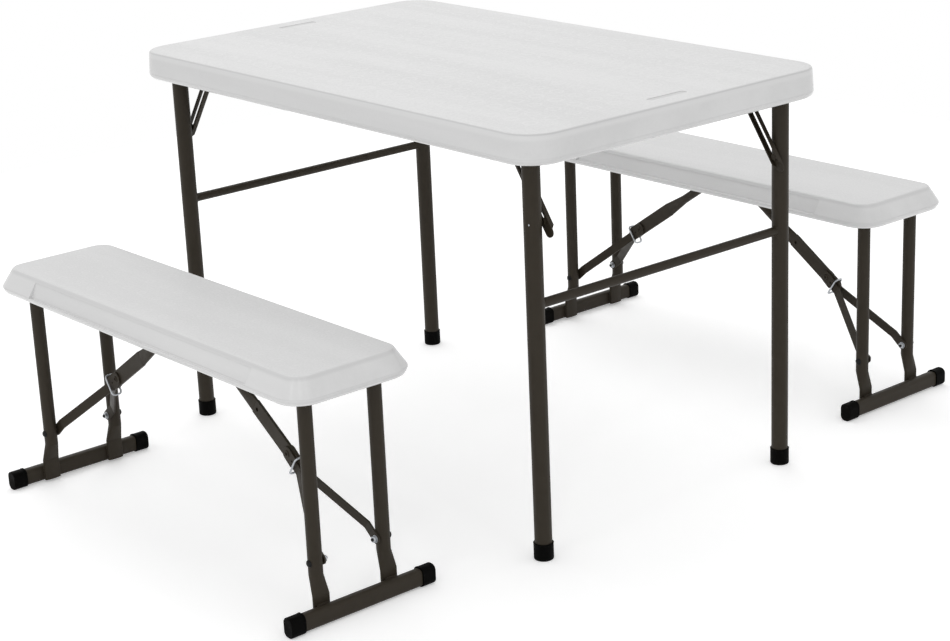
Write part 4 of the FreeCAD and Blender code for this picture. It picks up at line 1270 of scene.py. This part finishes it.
@dataclass
class FoldingBrace(LegEnd):
    """The small pieces of one brace: its knee rivet, nuts, washers and thread ends.

    Args:
        knee_half: Half the thickness of the three layers at the knee.
        rivet_radius: Radius of the rivet's rolled head.
        rivet_height: Height of the rivet's head.
        rivet_facets: Number of facets over the rolled head.
        eye_radius: Radius of the rivet's hollow.
        screw_height: Height of the screws that join the brace to the legs.
        seat: Face that a nut sits on, from the bench's middle.
        flats: A nut's width across flats.
        nut_height: Height of a nut.
        washer: The washer under a nut.
        thread_radius: Radius of a screw's thread.
        thread_pitch: Pitch of the thread.
        thread_depth: Depth of the thread.
        thread_end: Thread that shows past the nut.
        thread_taper: Radius of the thread's blunt end, as a share of that of its root.
        thread_facets: Number of facets round the thread.
    """

    knee_half: float = 0.0058
    rivet_radius: float = 0.00575
    rivet_height: float = 0.0016
    rivet_facets: int = 8
    eye_radius: float = 0.0024
    screw_height: float = SCREW_HEIGHT
    seat: float = 0.0527
    flats: float = 0.010
    nut_height: float = 0.0045
    washer: Washer = Washer(radius=0.0065, face_radius=0.006175, rim=0.0007, height=0.001)
    thread_radius: float = 0.003
    thread_pitch: float = 0.0008
    thread_depth: float = 0.0004
    thread_end: float = 0.0025
    thread_taper: float = 0.8
    thread_facets: int = 16

    @property
    def body(self) -> str:
        """The body that the pieces move with."""
        return self.name + "_lower_arms"

    def build(self) -> None:
        """Add the brace's small pieces."""
        self.knee_rivet()
        self.nuts()
        self.thread_ends()

    def knee_rivet(self) -> None:
        """Make the hollow rivet's two rolled heads."""
        piece = Workpiece(self.name + "_knee_rivet")
        knee = joint_place(self.name + "_knee")
        roll = (self.rivet_radius - self.eye_radius) / 2
        middle = self.eye_radius + roll
        turns = [math.pi * step / self.rivet_facets for step in range(self.rivet_facets + 1)]
        curve = [(middle + roll * math.cos(turn), self.rivet_height * math.sin(turn)) for turn in turns]
        rim, well = -self.rivet_height / 3, -self.rivet_height / 2
        profile = [(0.0, -self.rivet_height), (self.rivet_radius, rim), *curve, (self.eye_radius, well),
                   (0.0, well)]
        for end in (-1, 1):
            piece.turned(profile, knee + AXIS_Y * end * self.knee_half, AXIS_Y * end)
        self.close(piece, Slot.COAT, self.name + "_brace_fasteners")

    def nut_seats(self) -> list[tuple[Vector, Vector]]:
        """Find the faces that the nuts sit on.

        Returns:
            Where each of the two nuts sits, and which way it faces.
        """
        pivot = self.pivot
        return [(Vector((pivot.x, pivot.y + end * self.seat, self.screw_height)), AXIS_Y * -end)
                for end in (-1, 1)]

    def nuts(self) -> None:
        """Make the plated nuts and their washers."""
        piece = Workpiece(self.name + "_nuts")
        for place, axis in self.nut_seats():
            piece.turned([(0.0, 0.0), *self.washer.outline(0.0)], place, axis)
            piece.nut(place + axis * self.washer.height, axis, self.flats, self.nut_height)
        self.close(piece, Slot.ZINC)

    def thread_ends(self) -> None:
        """Make the screws' thread ends past the nuts."""
        piece = Workpiece(self.name + "_thread_ends")
        pitch = self.thread_pitch
        root = self.thread_radius - self.thread_depth
        start = self.washer.height + self.nut_height
        profile = [(0.0, start - pitch)]
        for turn in range(int(self.thread_end / pitch)):
            base = start - pitch / 2 + turn * pitch
            profile += [(root, base), (self.thread_radius, base + pitch / 2)]
        tip = start + self.thread_end
        profile += [(root * self.thread_taper, tip), (0.0, tip)]
        for place, axis in self.nut_seats():
            piece.turned(profile, place, axis, steps=self.thread_facets)
        self.close(piece, Slot.SCREW)


# Studio

@dataclass(frozen=True)
class Lamp:
    """A softbox that faces the set.

    Args:
        name: Its name.
        place: Where it hangs.
        size: Its width and its height.
        power: Its power in watts.
        aim: The point that it faces.
    """

    name: str
    place: tuple[float, float, float]
    size: tuple[float, float]
    power: float
    aim: tuple[float, float, float] = (0.0, 0.0, 0.4)

    def hang(self) -> None:
        """Put the lamp into the scene."""
        data = bpy.data.lights.new(self.name, "AREA")
        data.shape = "RECTANGLE"
        data.size, data.size_y = self.size
        data.energy = self.power
        piece = bpy.data.objects.new(self.name, data)
        piece.location = self.place
        piece.rotation_euler = (Vector(self.aim) - piece.location).to_track_quat("-Z", "Y").to_euler()
        bpy.context.scene.collection.objects.link(piece)


LAMPS = (
    Lamp("overhead_softbox", (-1.8, 0.9, 3.8), (2.8, 2.8), 36.0),
    Lamp("front_strip", (0.9, -4.7, 4.6), (0.3, 0.5), 10.0),
    Lamp("middle_strip", (2.9, -2.9, 4.6), (0.3, 0.5), 10.0),
    Lamp("side_strip", (4.0, -0.9, 4.6), (0.3, 0.5), 6.0),
    Lamp("camera_softbox", (2.4, -5.0, 1.6), (1.6, 1.6), 17.0),
)


@dataclass
class Studio:
    """Floor, lights and camera.

    Args:
        sensor: Width of the camera's sensor in millimetres.
        lens: Focal length in millimetres.
        sight: How far the camera sees.
        eye: Camera position.
        right: The image's rightward direction.
        forward: The viewing direction.
        sky: Strength of the white surroundings.
        floor_colour: The floor's own grey.
        floor_roughness: The floor's roughness.
        floor_specular: The floor's specular level.
        floor_lift: Light that the floor adds for the camera, so that it shows white.
        floor_reach: Half the floor's length and width.
    """

    sensor: float = 36.0
    lens: float = 82.755
    sight: float = 60.0
    eye: tuple[float, float, float] = (2.9918, -2.5326, 1.5198)
    right: tuple[float, float, float] = (0.6516, 0.7574, -0.0413)
    forward: tuple[float, float, float] = (-0.7284, 0.6096, -0.3128)
    sky: float = 0.772
    floor_colour: float = 0.93
    floor_roughness: float = 0.9
    floor_specular: float = 0.1
    floor_lift: float = 0.3
    floor_reach: float = 2.6

    def build(self) -> None:
        """Set up the whole studio."""
        self.floor()
        self.surroundings()
        for lamp in LAMPS:
            lamp.hang()
        self.camera()
        bpy.context.scene.view_settings.view_transform = "Standard"

    def camera(self) -> None:
        """Place the camera where the photograph was taken from."""
        data = bpy.data.cameras.new("photo_camera")
        data.sensor_fit = "HORIZONTAL"
        data.sensor_width = self.sensor
        data.lens = self.lens
        data.clip_end = self.sight
        view = bpy.data.objects.new("photo_camera", data)
        back = -Vector(self.forward).normalized()
        up = back.cross(Vector(self.right)).normalized()
        view.matrix_world = placement(Vector(self.eye), back, up.cross(back))
        bpy.context.scene.collection.objects.link(view)
        bpy.context.scene.camera = view

    @staticmethod
    def seen(nodes: Nodes) -> bpy.types.NodeSocket:
        """Tell what is seen from what only lights the set.

        Args:
            nodes: The nodes of the floor's material or of the world.

        Returns:
            1 for rays from the camera and rays that a surface mirrors or lets through, else 0.
        """
        path = nodes.add("ShaderNodeLightPath")
        mirrored = nodes.number("MAXIMUM", path.outputs["Is Glossy Ray"], path.outputs["Is Transmission Ray"])
        return nodes.number("MAXIMUM", path.outputs["Is Camera Ray"], mirrored)

    def floor(self) -> None:
        """Lay a wide pale floor that keeps the shadow and shows white elsewhere."""
        sheet = bmesh.new()
        bmesh.ops.create_grid(sheet, x_segments=1, y_segments=1, size=self.floor_reach)
        data = bpy.data.meshes.new("floor")
        sheet.to_mesh(data)
        sheet.free()
        piece = bpy.data.objects.new("floor", data)
        made = bpy.data.materials.new("pale_floor")
        made.use_nodes = True
        nodes = Nodes(made)
        shader = made.node_tree.nodes["Principled BSDF"]
        shader.inputs["Base Color"].default_value = grey(self.floor_colour)
        shader.inputs["Roughness"].default_value = self.floor_roughness
        shader.inputs["Specular IOR Level"].default_value = self.floor_specular
        shader.inputs["Emission Color"].default_value = WHITE
        lift = nodes.number("MULTIPLY", self.seen(nodes), self.floor_lift)
        nodes.feed(shader.inputs["Emission Strength"], lift)
        data.materials.append(made)
        bpy.context.scene.collection.objects.link(piece)

    def surroundings(self) -> None:
        """Light the set from all round, and show white to the camera."""
        world = bpy.data.worlds.new("white_surroundings")
        bpy.context.scene.world = world
        world.use_nodes = True
        nodes = Nodes(world)
        back = world.node_tree.nodes["Background"]
        back.inputs["Color"].default_value = WHITE
        strength = nodes.number("MULTIPLY_ADD", self.seen(nodes), 1.0 - self.sky, self.sky)
        nodes.feed(back.inputs["Strength"], strength)


def main() -> None:
    """Dress the set and its studio."""
    logging.basicConfig(level=logging.INFO)
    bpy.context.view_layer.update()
    effects = Effects()
    materials = {finish.slot: finish.material(effects) for finish in HARD_FINISHES}
    for row in frame["record"]["subparts"]:
        slot = Slot(row["material_slot"])
        if slot in materials:
            frame["nodes"][row["node"]].material_slots[0].material = materials[slot]
            log.info("%s wears %s", row["node"], slot.value)
    Mouldings(PLASTIC).dress(effects)
    for side in Side:
        TableFrame(side, materials).build()
        for bench in BENCHES:
            BenchFrame(side, materials, bench).build()
            FoldingBrace(side, materials, bench).build()
    Studio().build()


if __name__ == "__main__":
    main()
